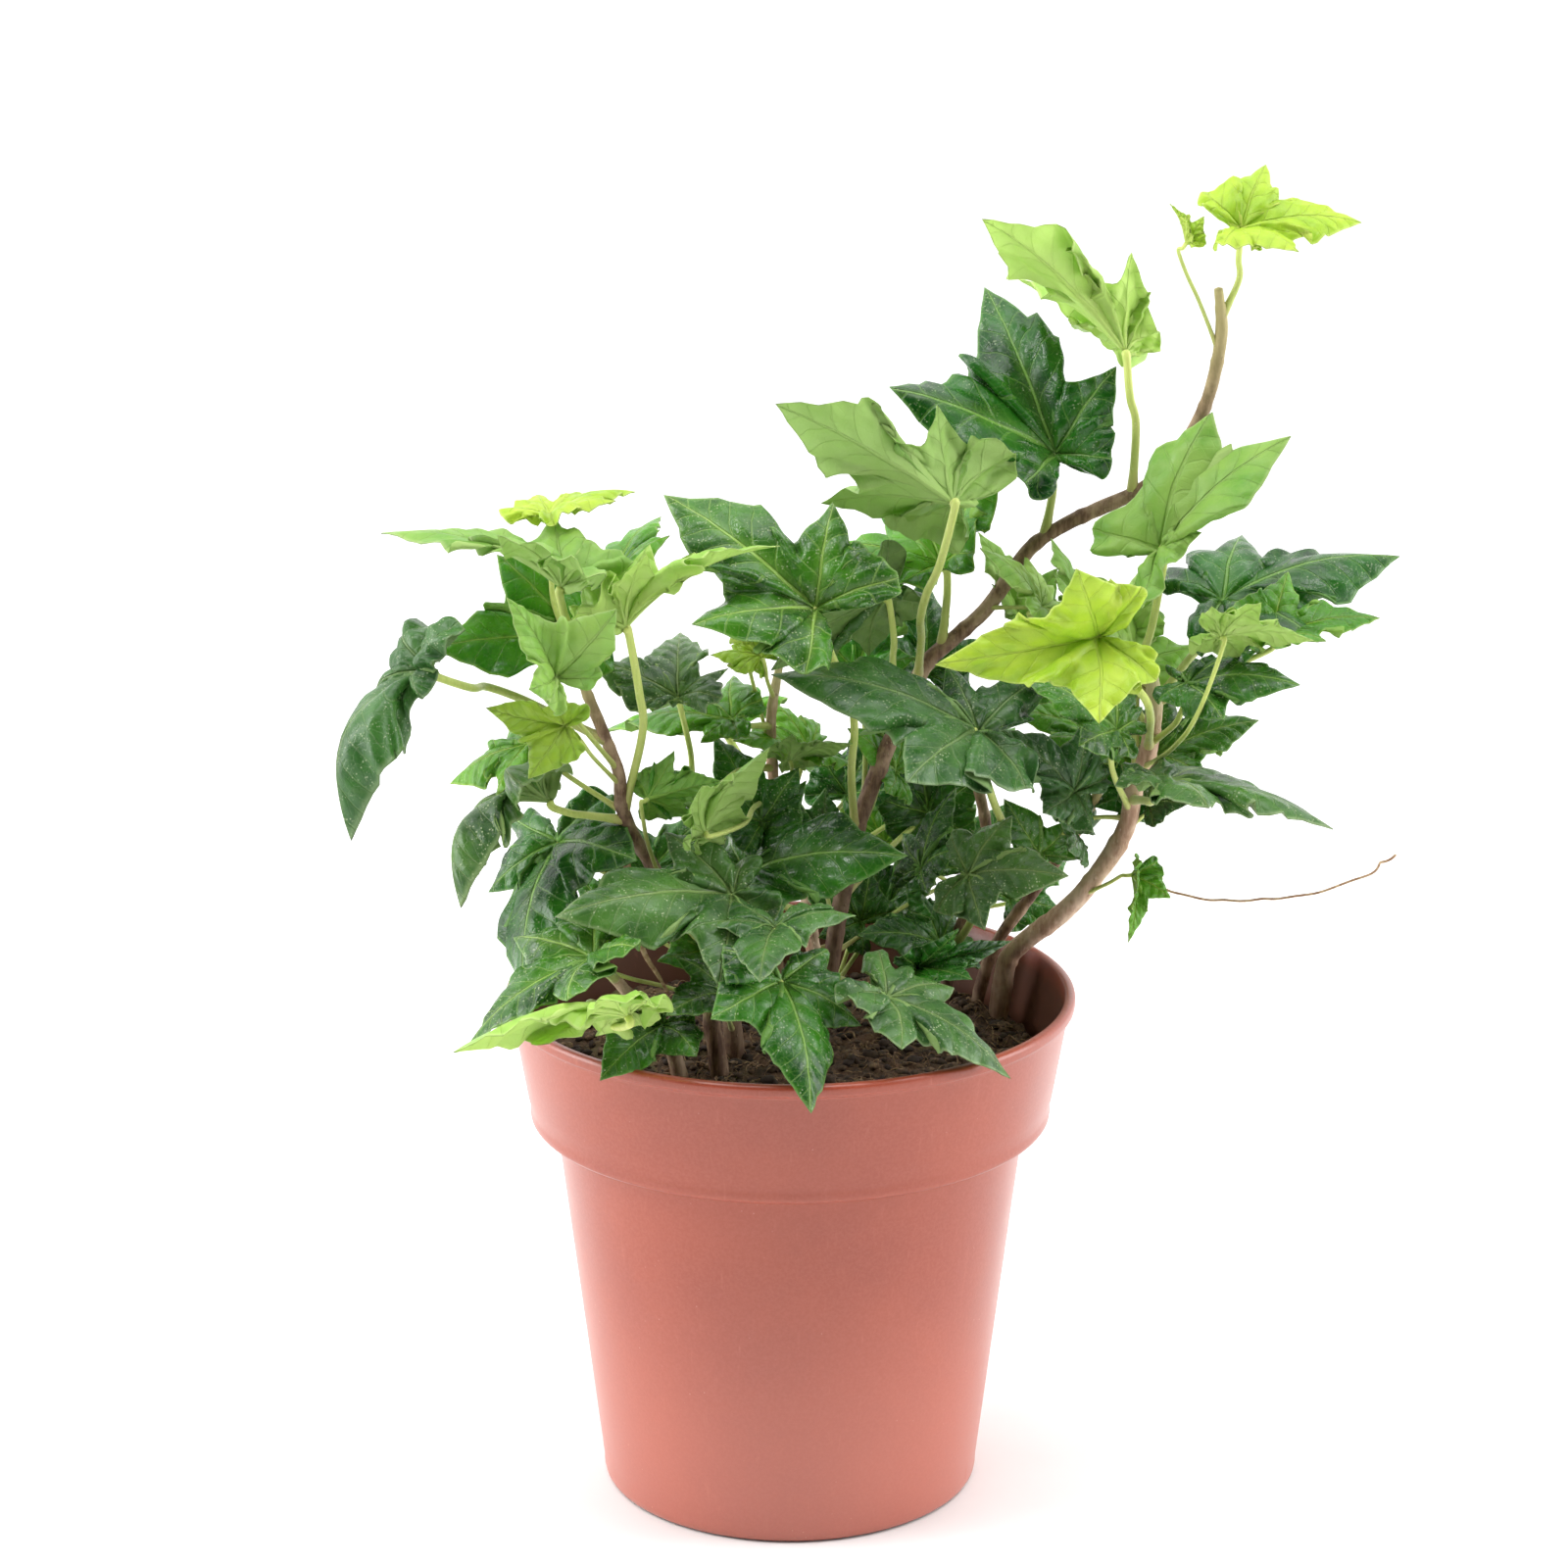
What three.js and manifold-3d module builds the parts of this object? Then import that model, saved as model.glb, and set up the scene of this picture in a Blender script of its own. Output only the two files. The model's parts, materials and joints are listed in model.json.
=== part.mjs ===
// Potted ivy: a 12 cm plastic nursery pot filled with soil, with several ivy stems, their lobed
// leaves on long stalks and one trailing aerial root. Millimetres, +Z up. The origin is the centre
// of the pot's underside, and the plant is seen from its front looking along +Y.
import * as THREE from "three";
import Module from "manifold-3d";

const wasm = await Module();
wasm.setup();

// Pot
const POT_HEIGHT = 109;
const RIM_RADIUS = 60;
const BASE_RADIUS = 40;
const BODY_TOP_RADIUS = 49.5;
const COLLAR_BOTTOM = 82;
const COLLAR_RADIUS = 54.8;
const WALL = 1.3;
const FLOOR = 1.6;
const POT_SIDES = 48;
const DRAIN_COUNT = 6;
const DRAIN_RADIUS = 3.5;
const DRAIN_CIRCLE = 27;

// Soil
const SOIL_TOP = 97;
const SOIL_CLEARANCE = 0.5;
const SOCKET_CLEARANCE = 0.4;

// Growth
const STEM_SIDES = 8;
const STALK_SIDES = 6;
const JOINT_GAP = 0.35;
const BLADE_THICKNESS = 0.7;
const EDGE_THICKNESS = 0.36;
const LATERAL_ANGLE = 62;
const BASAL_ANGLE = 122;
const LATERAL_LENGTH = 0.68;
const BASAL_LENGTH = 0.46;
const LOBE_HALF_WIDTH = 0.2;
const LOBE_TIPS = [0, 4, 14];

const COLOURS = {
  pot: "#b9604c",
  soil: "#3c2d22",
  bark: "#6e5041",
  shoot: "#a8907a",
  root: "#cdb394",
  fresh: "#b4cc3a",
  young: "#8fb447",
  grown: "#4f8f26",
  old: "#2d5a2b",
  dusty: "#5b7a58",
};

const vec = (p) => new THREE.Vector3(p[0], p[1], p[2]);
const radians = THREE.MathUtils.degToRad;
const group = new THREE.Group();

function addMesh(name, geometry, colour, roughness) {
  const material = new THREE.MeshStandardMaterial({ color: colour, roughness, metalness: 0 });
  const mesh = new THREE.Mesh(geometry, material);
  mesh.name = name;
  group.add(mesh);
  return mesh;
}

function geometryOf(points, triangles) {
  const geometry = new THREE.BufferGeometry();
  const flat = points.flatMap((p) => [p.x, p.y, p.z]);
  geometry.setAttribute("position", new THREE.Float32BufferAttribute(flat, 3));
  geometry.setIndex(triangles.flat());
  geometry.computeVertexNormals();
  return geometry;
}

function solidOf(geometry) {
  const position = geometry.getAttribute("position");
  const mesh = new wasm.Mesh({
    numProp: 3,
    vertProperties: new Float32Array(position.array),
    triVerts: new Uint32Array(geometry.index.array),
  });
  mesh.merge();
  return new wasm.Manifold(mesh);
}

function geometryFromSolid(solid) {
  const mesh = solid.getMesh();
  const geometry = new THREE.BufferGeometry();
  geometry.setAttribute("position", new THREE.BufferAttribute(mesh.vertProperties, 3));
  geometry.setIndex(new THREE.BufferAttribute(mesh.triVerts, 1));
  geometry.computeVertexNormals();
  return geometry;
}

// Unit vector square to the given direction.
function squareTo(direction) {
  const axis = Math.abs(direction.z) > 0.8 ? new THREE.Vector3(1, 0, 0) : new THREE.Vector3(0, 0, 1);
  return axis.addScaledVector(direction, -axis.dot(direction)).normalize();
}

// One ring of points about a centre, starting along `first` and turning about `axis`.
function ringAbout(centre, axis, first, radius, sides) {
  const start = first.clone().addScaledVector(axis, -first.dot(axis)).normalize();
  const across = axis.clone().cross(start);
  return Array.from({ length: sides }, (_, i) => {
    const turn = (i / sides) * 2 * Math.PI;
    return centre
      .clone()
      .addScaledVector(start, radius * Math.cos(turn))
      .addScaledVector(across, radius * Math.sin(turn));
  });
}

// Triangles joining ring a to ring b, both `sides` long and given by their first index.
function band(a, b, sides) {
  const triangles = [];
  for (let i = 0; i < sides; i++) {
    const j = (i + 1) % sides;
    triangles.push([a + i, a + j, b + j], [a + i, b + j, b + i]);
  }
  return triangles;
}

// A closed tube through the centres, with a fan of triangles over each end.
function tube(centres, radii, sides) {
  const points = [centres[0]];
  const triangles = [];
  let first = null;
  centres.forEach((centre, i) => {
    const before = centres[Math.max(i - 1, 0)];
    const after = centres[Math.min(i + 1, centres.length - 1)];
    const axis = after.clone().sub(before).normalize();
    first = first ?? squareTo(axis);
    const ring = ringAbout(centre, axis, first, radii[i], sides);
    first = ring[0].clone().sub(centre);
    points.push(...ring);
    if (i > 0) triangles.push(...band(1 + (i - 1) * sides, 1 + i * sides, sides));
  });
  const last = 1 + (centres.length - 1) * sides;
  points.push(centres[centres.length - 1].clone());
  for (let i = 0; i < sides; i++) {
    const j = (i + 1) % sides;
    triangles.push([0, 1 + j, 1 + i], [points.length - 1, last + i, last + j]);
  }
  return geometryOf(points, triangles);
}

function addPot() {
  const rim = POT_HEIGHT;
  const wallSlope = (BODY_TOP_RADIUS - BASE_RADIUS) / COLLAR_BOTTOM;
  const profile = [
    [0, 0],
    [BASE_RADIUS - 1.6, 0],
    [BASE_RADIUS, 1.8],
    [BODY_TOP_RADIUS, COLLAR_BOTTOM - 0.6],
    [COLLAR_RADIUS - 0.8, COLLAR_BOTTOM],
    [COLLAR_RADIUS, COLLAR_BOTTOM + 1],
    [RIM_RADIUS - 1.3, rim - 3.2],
    [RIM_RADIUS, rim - 2.4],
    [RIM_RADIUS, rim - 0.6],
    [RIM_RADIUS - 0.7, rim],
    [RIM_RADIUS - WALL - 0.8, rim],
    [COLLAR_RADIUS - WALL, COLLAR_BOTTOM + 2],
    [BODY_TOP_RADIUS - WALL, COLLAR_BOTTOM],
    [BASE_RADIUS + wallSlope * FLOOR - WALL, FLOOR],
    [0, FLOOR],
  ];
  const points = profile.map(([r, z]) => new THREE.Vector2(r, z));
  const shell = new THREE.LatheGeometry(points, POT_SIDES);
  shell.rotateX(Math.PI / 2);
  let pot = solidOf(shell);
  for (let i = 0; i < DRAIN_COUNT; i++) {
    const turn = ((i + 0.5) / DRAIN_COUNT) * 2 * Math.PI;
    const hole = new THREE.CylinderGeometry(DRAIN_RADIUS, DRAIN_RADIUS, FLOOR * 4, 12);
    hole.rotateX(Math.PI / 2);
    hole.translate(DRAIN_CIRCLE * Math.cos(turn), DRAIN_CIRCLE * Math.sin(turn), 0);
    pot = pot.subtract(solidOf(hole));
  }
  addMesh("pot", geometryFromSolid(pot), COLOURS.pot, 0.45);
}

function addSoil(stems) {
  const inset = WALL + SOIL_CLEARANCE;
  const floor = FLOOR + SOIL_CLEARANCE;
  const slope = (RIM_RADIUS - 2.1 - COLLAR_RADIUS + WALL) / (POT_HEIGHT - COLLAR_BOTTOM - 2);
  const edge = COLLAR_RADIUS - inset + slope * (SOIL_TOP - 2 - COLLAR_BOTTOM - 2);
  const profile = [
    [0, floor],
    [BASE_RADIUS - inset, floor],
    [BODY_TOP_RADIUS - inset, COLLAR_BOTTOM],
    [COLLAR_RADIUS - inset - 0.2, COLLAR_BOTTOM + 2],
    [edge, SOIL_TOP - 2],
    [edge - 3, SOIL_TOP - 0.6],
    [40, SOIL_TOP - 0.4],
    [24, SOIL_TOP + 0.6],
    [10, SOIL_TOP - 0.2],
    [0, SOIL_TOP + 0.4],
  ];
  const points = profile.map(([r, z]) => new THREE.Vector2(r, z));
  const heap = new THREE.LatheGeometry(points, POT_SIDES);
  heap.rotateX(Math.PI / 2);
  let soil = solidOf(heap);
  for (const stem of stems) {
    const radii = stem.radii.map((r) => r + SOCKET_CLEARANCE);
    const down = stem.centres[0].clone().sub(stem.centres[1]).normalize();
    const deeper = stem.centres[0].clone().addScaledVector(down, SOCKET_CLEARANCE);
    const socket = tube([deeper, ...stem.centres.slice(1, 4)], radii.slice(0, 4), STEM_SIDES);
    soil = soil.subtract(solidOf(socket));
  }
  addMesh("soil", geometryFromSolid(soil), COLOURS.soil, 0.95);
}

// A stem follows a smooth path through the given places and thins evenly from foot to end, with a
// slight knuckle at every third step.
function makeStem({ name, colour, radius, path, steps }) {
  const curve = new THREE.CatmullRomCurve3(path.map(vec), false, "centripetal");
  const centres = curve.getSpacedPoints(steps);
  const radii = centres.map((_, i) => {
    const along = i / steps;
    const knuckle = i % 3 === 2 && i < steps - 1 ? 1.09 : 1;
    return knuckle * THREE.MathUtils.lerp(radius[0], radius[1], along) * (i === steps ? 0.7 : 1);
  });
  addMesh(name, tube(centres, radii, STEM_SIDES), COLOURS[colour], 0.8);
  return { name, centres, radii };
}

// The centre and radius of a stem at a height.
function stemAt(stem, height) {
  let i = stem.centres.findIndex((p) => p.z > height);
  if (i < 0) i = stem.centres.length - 1;
  i = Math.max(i, 1);
  const a = stem.centres[i - 1];
  const b = stem.centres[i];
  const t = THREE.MathUtils.clamp((height - a.z) / (b.z - a.z), 0, 1);
  return {
    centre: a.clone().lerp(b, t),
    radius: Math.max(stem.radii[i - 1], stem.radii[i]),
    along: b.clone().sub(a).normalize(),
  };
}

// The edge of a blade from the main tip round by the left side to the notch, as vectors from the
// blade's joint. `out` is the main lobe's vector, `side` the unit vector across the blade on this
// side and `lobe` the lateral lobe's vector.
function halfOutline(out, side, lobe, basal) {
  const length = out.length();
  const forward = out.clone().normalize();
  const across = forward.clone().addScaledVector(lobe, -forward.dot(lobe) / lobe.lengthSq()).normalize();
  const angle = radians(BASAL_ANGLE);
  const back = forward
    .clone()
    .multiplyScalar(Math.cos(angle))
    .addScaledVector(side, Math.sin(angle))
    .multiplyScalar(basal * length);
  const lobeLength = lobe.length();
  const mix = (a, b, share) => a.clone().add(b).multiplyScalar(share);
  return [
    out.clone().multiplyScalar(0.56).addScaledVector(side, LOBE_HALF_WIDTH * length),
    mix(out, lobe, 0.35),
    lobe.clone().multiplyScalar(0.6).addScaledVector(across, 0.2 * lobeLength),
    lobe.clone(),
    lobe.clone().multiplyScalar(0.56).addScaledVector(across, -0.24 * lobeLength),
    mix(lobe, back, 0.41),
    back,
    back.clone().multiplyScalar(0.6).addScaledVector(forward, -0.13 * length),
  ];
}

// Blade and stalk as one closed body: a fan and a band of triangles over each face, a narrow edge,
// and a stalk tube that leaves the underside at the joint and ends just short of its stem.
function addLeaf(stem, leaf) {
  const base = vec(leaf.base);
  const out = vec(leaf.tip).sub(base);
  const length = out.length();
  const forward = out.clone().normalize();
  const up = vec(leaf.face);
  up.addScaledVector(forward, -up.dot(forward)).normalize();
  const left = up.clone().cross(forward);
  const fold = radians(leaf.fold ?? 20);
  const [lobeLeft, lobeRight] = leaf.lobes ?? [LATERAL_LENGTH, LATERAL_LENGTH];
  const lateral = radians(leaf.spread ?? LATERAL_ANGLE);
  const basal = leaf.basal ?? BASAL_LENGTH;
  const stalkRadius = THREE.MathUtils.clamp(length * 0.034, 0.45, 1.15);

  const halves = [
    [1, lobeLeft],
    [-1, lobeRight],
  ].map(([sign, size]) => {
    const side = left.clone().multiplyScalar(sign * Math.cos(fold)).addScaledVector(up, Math.sin(fold));
    const lobe = forward
      .clone()
      .multiplyScalar(Math.cos(lateral))
      .addScaledVector(side, Math.sin(lateral))
      .multiplyScalar(size * length);
    return halfOutline(out, side, lobe, basal);
  });
  const notch = forward.clone().multiplyScalar(-Math.max(0.1 * length, 2.6 * stalkRadius));
  const outline = [out, ...halves[0], notch, ...halves[1].reverse()];
  const count = outline.length;

  const wave = (leaf.wave ?? 0.035) * length;
  const arch = (leaf.arch ?? 0.1) * length;
  const rings = [0.5, 1].map((share, k) =>
    outline.map((edge, i) => {
      const lift = arch * (edge.length() / length) * (k === 0 ? 1 : 0);
      const ripple = LOBE_TIPS.includes(i) ? 0 : wave * share * Math.sin(i * 2.4 + length);
      return base.clone().addScaledVector(edge, share).addScaledVector(up, lift + ripple);
    }),
  );

  const middle = [base, ...rings[0], ...rings[1]];
  const face = [];
  for (let i = 0; i < count; i++) {
    const j = (i + 1) % count;
    face.push([0, 1 + i, 1 + j]);
  }
  face.push(...band(1, 1 + count, count).map(([a, b, c]) => [b, a, c]));
  const normals = middle.map(() => new THREE.Vector3());
  for (const [a, b, c] of face) {
    const normal = middle[b].clone().sub(middle[a]).cross(middle[c].clone().sub(middle[a]));
    for (const corner of [a, b, c]) normals[corner].add(normal);
  }
  const halfAt = (i) => (i > count ? EDGE_THICKNESS : BLADE_THICKNESS) / 2;
  const offset = (sign) => (p, i) => p.clone().addScaledVector(normals[i].normalize(), sign * halfAt(i));
  const top = middle.map(offset(1));
  const bottom = middle.map(offset(-1)).slice(1);
  const points = [...top, ...bottom];
  const under = top.length;
  const triangles = [...face];
  triangles.push(...band(under, under + count, count));
  triangles.push(...band(under + count, 1 + count, count));

  // Stalk
  const hub = base.clone().addScaledVector(normals[0], -BLADE_THICKNESS / 2);
  const joint = stemAt(stem, leaf.joint);
  const toward = vec(leaf.bend ?? leaf.base).sub(joint.centre);
  const outward = toward.addScaledVector(joint.along, -toward.dot(joint.along)).normalize();
  const foot = joint.centre.clone().addScaledVector(outward, joint.radius + JOINT_GAP);
  const reach = foot.distanceTo(hub);
  const leave = normals[0].clone().multiplyScalar(-0.8);
  leave.add(foot.clone().sub(hub).normalize()).normalize();
  const route = [hub, hub.clone().addScaledVector(leave, Math.min(0.2 * reach, 5))];
  if (leaf.bend) route.push(vec(leaf.bend));
  route.push(foot.clone().addScaledVector(outward, Math.min(0.1 * reach, 2)), foot);
  const curve = new THREE.CatmullRomCurve3(route, false, "centripetal");
  const stops = leaf.bend ? [0, 0.1, 0.28, 0.45, 0.62, 0.8, 0.94, 1] : [0, 0.12, 0.35, 0.6, 0.85, 1];
  let first = forward.clone();
  let previous = points.length;
  stops.forEach((stop, k) => {
    const centre = curve.getPointAt(stop);
    const axis = k === 0 ? normals[0].clone().negate() : curve.getTangentAt(stop);
    const radius = stalkRadius * (k === stops.length - 1 ? 1.15 : 1);
    const ring = ringAbout(centre, axis, first, radius, STALK_SIDES);
    first = ring[0].clone().sub(centre);
    const start = points.length;
    points.push(...ring);
    if (k > 0) triangles.push(...band(previous, start, STALK_SIDES));
    previous = start;
  });
  const hubRing = top.length + bottom.length;
  const step = count / STALK_SIDES;
  for (let k = 0; k < STALK_SIDES; k++) {
    // The hub ring turns about the downward axis, so it runs against the outline's order.
    const here = hubRing + ((STALK_SIDES - k) % STALK_SIDES);
    const next = hubRing + ((STALK_SIDES - k - 1) % STALK_SIDES);
    const edge = (i) => under + ((k * step + i) % count);
    triangles.push([here, edge(1), edge(0)], [here, next, edge(1)]);
    triangles.push([next, edge(2), edge(1)], [next, edge(3), edge(2)]);
  }
  points.push(curve.getPointAt(1));
  for (let i = 0; i < STALK_SIDES; i++) {
    const j = (i + 1) % STALK_SIDES;
    triangles.push([points.length - 1, previous + i, previous + j]);
  }
  addMesh(leaf.name, geometryOf(points, triangles), COLOURS[leaf.age], leaf.age === "old" ? 0.35 : 0.5);
}

// The stems by name. `radius` is at the foot and at the end.
const STEMS = {
  main: makeStem({
    name: "stem_main_vine",
    colour: "bark",
    radius: [2.1, 1.4],
    steps: 24,
    path: [[5, 5, 88], [9, 6, 115], [12, 8, 132], [15, 10, 144], [24, 14, 166], [31, 16, 179],
      [37, 18, 182], [45, 19, 192], [52, 20, 201], [65, 20, 208], [77, 18, 215], [84, 15, 227],
      [87, 12, 238], [88, 10, 251], [87, 9, 256]],
  }),
  right: makeStem({
    name: "stem_right_vine",
    colour: "shoot",
    radius: [2.4, 2],
    steps: 14,
    path: [[44, 22, 88], [48, 20, 111], [53, 19, 115], [61, 17, 123], [67, 15, 132], [71, 13, 140],
      [72, 12, 147], [75, 10, 158], [76, 9, 169], [75, 8, 176]],
  }),
  left: makeStem({
    name: "stem_left_vine",
    colour: "bark",
    radius: [2.3, 1.1],
    steps: 16,
    path: [[-11, -7, 88], [-13, -9, 110], [-16, -10, 120], [-22, -12, 130], [-26, -14, 136],
      [-30, -16, 144], [-34, -17, 152], [-35, -18, 162], [-38, -18, 170], [-44, -19, 186]],
  }),
  front: makeStem({
    name: "stem_front_shoot",
    colour: "shoot",
    radius: [1.9, 1.2],
    steps: 9,
    path: [[-22, -20, 88], [-24, -22, 102], [-28, -26, 109], [-33, -30, 118], [-39, -34, 127]],
  }),
  middle: makeStem({
    name: "stem_middle_shoot",
    colour: "shoot",
    radius: [1.8, 1.1],
    steps: 14,
    path: [[-2, 14, 88], [-3, 14, 115], [-3, 12, 142], [-4, 10, 165], [-2, 9, 178]],
  }),
  back: makeStem({
    name: "stem_back_shoot",
    colour: "bark",
    radius: [1.8, 1.2],
    steps: 12,
    path: [[30, 20, 88], [36, 22, 112], [42, 24, 134], [38, 22, 154]],
  }),
  twig: makeStem({
    name: "stem_right_twig",
    colour: "bark",
    radius: [1.6, 1.1],
    steps: 11,
    path: [[39, 29, 88], [44, 28, 108], [53, 25, 123], [61, 20, 137], [66, 17, 148]],
  }),
  rear: makeStem({
    name: "stem_rear_shoot",
    colour: "shoot",
    radius: [1.9, 1.2],
    steps: 10,
    path: [[6, 30, 88], [5, 34, 108], [2, 40, 128], [0, 44, 142]],
  }),
  stub: makeStem({
    name: "stem_cut_stub",
    colour: "bark",
    radius: [2.1, 2],
    steps: 5,
    path: [[-14, -20, 88], [-15, -20, 100], [-17, -20, 113]],
  }),
};

makeStem({
  name: "root_right_trailing",
  colour: "root",
  radius: [0.6, 0.4],
  steps: 14,
  path: [[73, 9, 133], [81, 7, 128], [93, 4, 127], [109, 0, 130], [121, -2, 135], [125, -4, 139]],
});

// The leaves, by the stem they grow from. `joint` is the height on the stem where the stalk starts
// and `bend` a place the stalk passes through. `base` is where the blade sits on the stalk, `tip`
// the point of its main lobe and `face` roughly where its upper side looks. `fold` lifts the two
// halves (degrees), `spread` is the angle and `lobes` the left and right length of the side lobes,
// `basal` the length of the two lobes by the stalk and `arch` the height of the blade's curl, all
// as shares of the main lobe.
const LEAVES = {
  left: [
    // The long pale leaf standing out at the top left, folded along its middle.
    { name: "leaf_left_01", age: "young", joint: 184, base: [-46, -22, 201], tip: [-83, -8, 209],
      face: [0, 1, 10], fold: 35, spread: 60, lobes: [0.5, 0.5], basal: 0.4 },
    { name: "leaf_left_02", age: "grown", joint: 176, base: [-44, -4, 186], tip: [-73, -16, 187],
      face: [-2, -8, 5], fold: 10, spread: 52, lobes: [0.42, 0.75], basal: 0.32 },
    // The young V-shaped leaf in the middle of the left tuft.
    { name: "leaf_left_03", age: "young", joint: 166, base: [-47, -34, 186], tip: [-56, -37, 203],
      face: [6, -8, 2], fold: 35, spread: 70, lobes: [0.66, 0.97] },
    { name: "leaf_left_04", age: "young", joint: 157, base: [-33, -20, 192], tip: [-2, -19, 209],
      face: [-3, 1, 9], fold: 60, spread: 50, lobes: [0.52, 0.52], basal: 0.33 },
    { name: "leaf_left_05", age: "fresh", joint: 180, bend: [-49, -4, 197], base: [-49, -3, 211],
      tip: [-32, 12, 213], face: [-3, -1, 9], fold: 10 },
    { name: "leaf_left_06", age: "grown", joint: 184, base: [-36, 4, 196], tip: [-27, 24, 205],
      face: [-5, -1, 9], fold: 15, spread: 75, lobes: [0.58, 0.7], basal: 0.3 },
    // The far left leaf, hanging from an arched stalk.
    { name: "leaf_left_07", age: "dusty", joint: 172, bend: [-60, -10, 177], base: [-71, -28, 185],
      tip: [-87, -44, 155], face: [-8, -3, 5], fold: 20, spread: 55, lobes: [0.35, 0.4], basal: 0.37,
      arch: 0.3 },
    { name: "leaf_left_08", age: "fresh", joint: 162, base: [-45, -30, 175], tip: [-61, -28, 178],
      face: [-5, -9, 1], fold: 30, spread: 70, lobes: [0.82, 0.53] },
    { name: "leaf_left_09", age: "grown", joint: 156, base: [-53, -14, 166], tip: [-70, -8, 156],
      face: [-6, -3, 8], fold: 0, basal: 0.3 },
    { name: "leaf_left_10", age: "dusty", joint: 153, base: [-49, -18, 155], tip: [-66, -38, 139],
      face: [-8, 1, 6], fold: 20, spread: 62, basal: 0.3, arch: 0.36 },
    // The big dark leaf low on the left.
    { name: "leaf_left_11", age: "old", joint: 134, base: [-48, -4, 142], tip: [-54, -34, 119],
      face: [-6, -4, 7], fold: 5, lobes: [0.78, 0.48], basal: 0.4 },
    { name: "leaf_left_12", age: "dusty", joint: 117, base: [-12, -27, 138], tip: [-47, -44, 139],
      face: [0, -6, 8], fold: 5, lobes: [0.68, 0.5], basal: 0.25 },
  ],
  front: [
    // The glossy leaf over the left of the rim.
    { name: "leaf_front_01", age: "old", joint: 124, base: [-39, -44, 130], tip: [-64, -52, 115],
      face: [-5, -2, 8], fold: 15, lobes: [0.72, 0.74] },
    { name: "leaf_front_02", age: "young", joint: 117, bend: [-41, -44, 121], base: [-32, -56, 122],
      tip: [-66, -68, 119], face: [-3, 5, 8], fold: 0, lobes: [0.6, 0.3], basal: 0.25 },
    { name: "leaf_front_03", age: "old", joint: 106, base: [-26, -36, 113], tip: [-38, -54, 108],
      face: [0, -6, 8], lobes: [0.68, 0.5], basal: 0.3 },
  ],
  middle: [
    { name: "leaf_mid_01", age: "dusty", joint: 158, bend: [-19, -8, 155], base: [-23, -8, 174],
      tip: [-23, 16, 182], face: [-1, -3, 10], spread: 70, lobes: [0.8, 0.48] },
    { name: "leaf_mid_02", age: "fresh", joint: 172, base: [-6, 0, 181], tip: [-11, 14, 186],
      face: [-4, -4, 8] },
    { name: "leaf_mid_03", age: "grown", joint: 165, base: [-12, 0, 167], tip: [-34, 10, 164],
      face: [-3, -2, 9], fold: 5, spread: 70, lobes: [0.4, 0.7], basal: 0.34 },
    { name: "leaf_mid_04", age: "young", joint: 152, base: [-17, -26, 151], tip: [-4, -22, 168],
      face: [-8, 5, 3], fold: 0, lobes: [0.68, 0.8], basal: 0.3 },
    { name: "leaf_mid_05", age: "old", joint: 124, base: [-9, -6, 136], tip: [24, -22, 145],
      face: [-4, -5, 8], fold: 10, lobes: [0.62, 0.66], basal: 0.3 },
    { name: "leaf_mid_06", age: "dusty", joint: 116, base: [-3, -40, 135], tip: [-6, -64, 132],
      face: [-1, -1, 10], fold: 15, spread: 75, lobes: [0.76, 0.54] },
    // The star-shaped leaf hanging over the front of the rim.
    { name: "leaf_mid_07", age: "old", joint: 108, base: [-2, -46, 126], tip: [4, -67, 106],
      face: [5, -6, 7], fold: 0, lobes: [0.64, 0.7] },
  ],
  main: [
    // The big dark leaf in the middle with pale veins.
    { name: "leaf_main_01", age: "old", joint: 144, bend: [13, 3, 170], base: [5, -12, 194],
      tip: [-26, 5, 214], face: [1, -8, 6], fold: 25, lobes: [0.7, 0.55] },
    { name: "leaf_main_02", age: "dusty", joint: 168, base: [20, 8, 191], tip: [-4, 4, 177],
      face: [-6, 8, 3], fold: 15 },
    { name: "leaf_main_03", age: "young", joint: 176, bend: [27, -2, 192], base: [33, -8, 215],
      tip: [-3, -24, 239], face: [-3, 9, 3], fold: 45, lobes: [0.45, 0.66] },
    { name: "leaf_main_04", age: "grown", joint: 181, base: [32, 16, 196], tip: [27, 50, 209],
      face: [-4, -4, 8], fold: 30, spread: 70, basal: 0.3 },
    { name: "leaf_main_05", age: "old", joint: 204, base: [55, 20, 219], tip: [41, 44, 250],
      face: [0, -8, 6], fold: 30, lobes: [0.95, 0.54], basal: 0.32 },
    // The leaf at the very top, seen from below.
    { name: "leaf_main_06", age: "young", joint: 215, base: [69, 18, 241], tip: [38, -8, 273],
      face: [-1, 8, 6], fold: 55, lobes: [0.4, 0.58], basal: 0.22 },
    { name: "leaf_main_07", age: "fresh", joint: 252, base: [91, 8, 268], tip: [116, 12, 269],
      face: [0, -5, 9] },
    { name: "leaf_main_08", age: "dusty", joint: 114, base: [19, -42, 121], tip: [44, -50, 107],
      face: [5, -2, 8], fold: 5 },
    { name: "leaf_main_09", age: "young", joint: 190, base: [58, 4, 190], tip: [54, 13, 203],
      face: [8, -3, 5], fold: 15 },
  ],
  right: [
    { name: "leaf_right_01", age: "young", joint: 154, base: [76, 2, 203], tip: [102, 2, 227],
      face: [-6, -6, 5], fold: 20, spread: 30, lobes: [0.86, 0.3], basal: 0.42 },
    // The long leaf reaching farthest to the right.
    { name: "leaf_right_02", age: "old", joint: 172, base: [91, 22, 187], tip: [129, 30, 195],
      face: [-2, -3, 9], fold: 0 },
    { name: "leaf_right_03", age: "young", joint: 158, bend: [82, -12, 170], base: [88, -8, 187],
      tip: [107, -6, 186], face: [0, 7, 7], fold: 10 },
    { name: "leaf_right_04", age: "old", joint: 162, base: [82, 0, 175], tip: [104, -11, 178],
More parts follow.
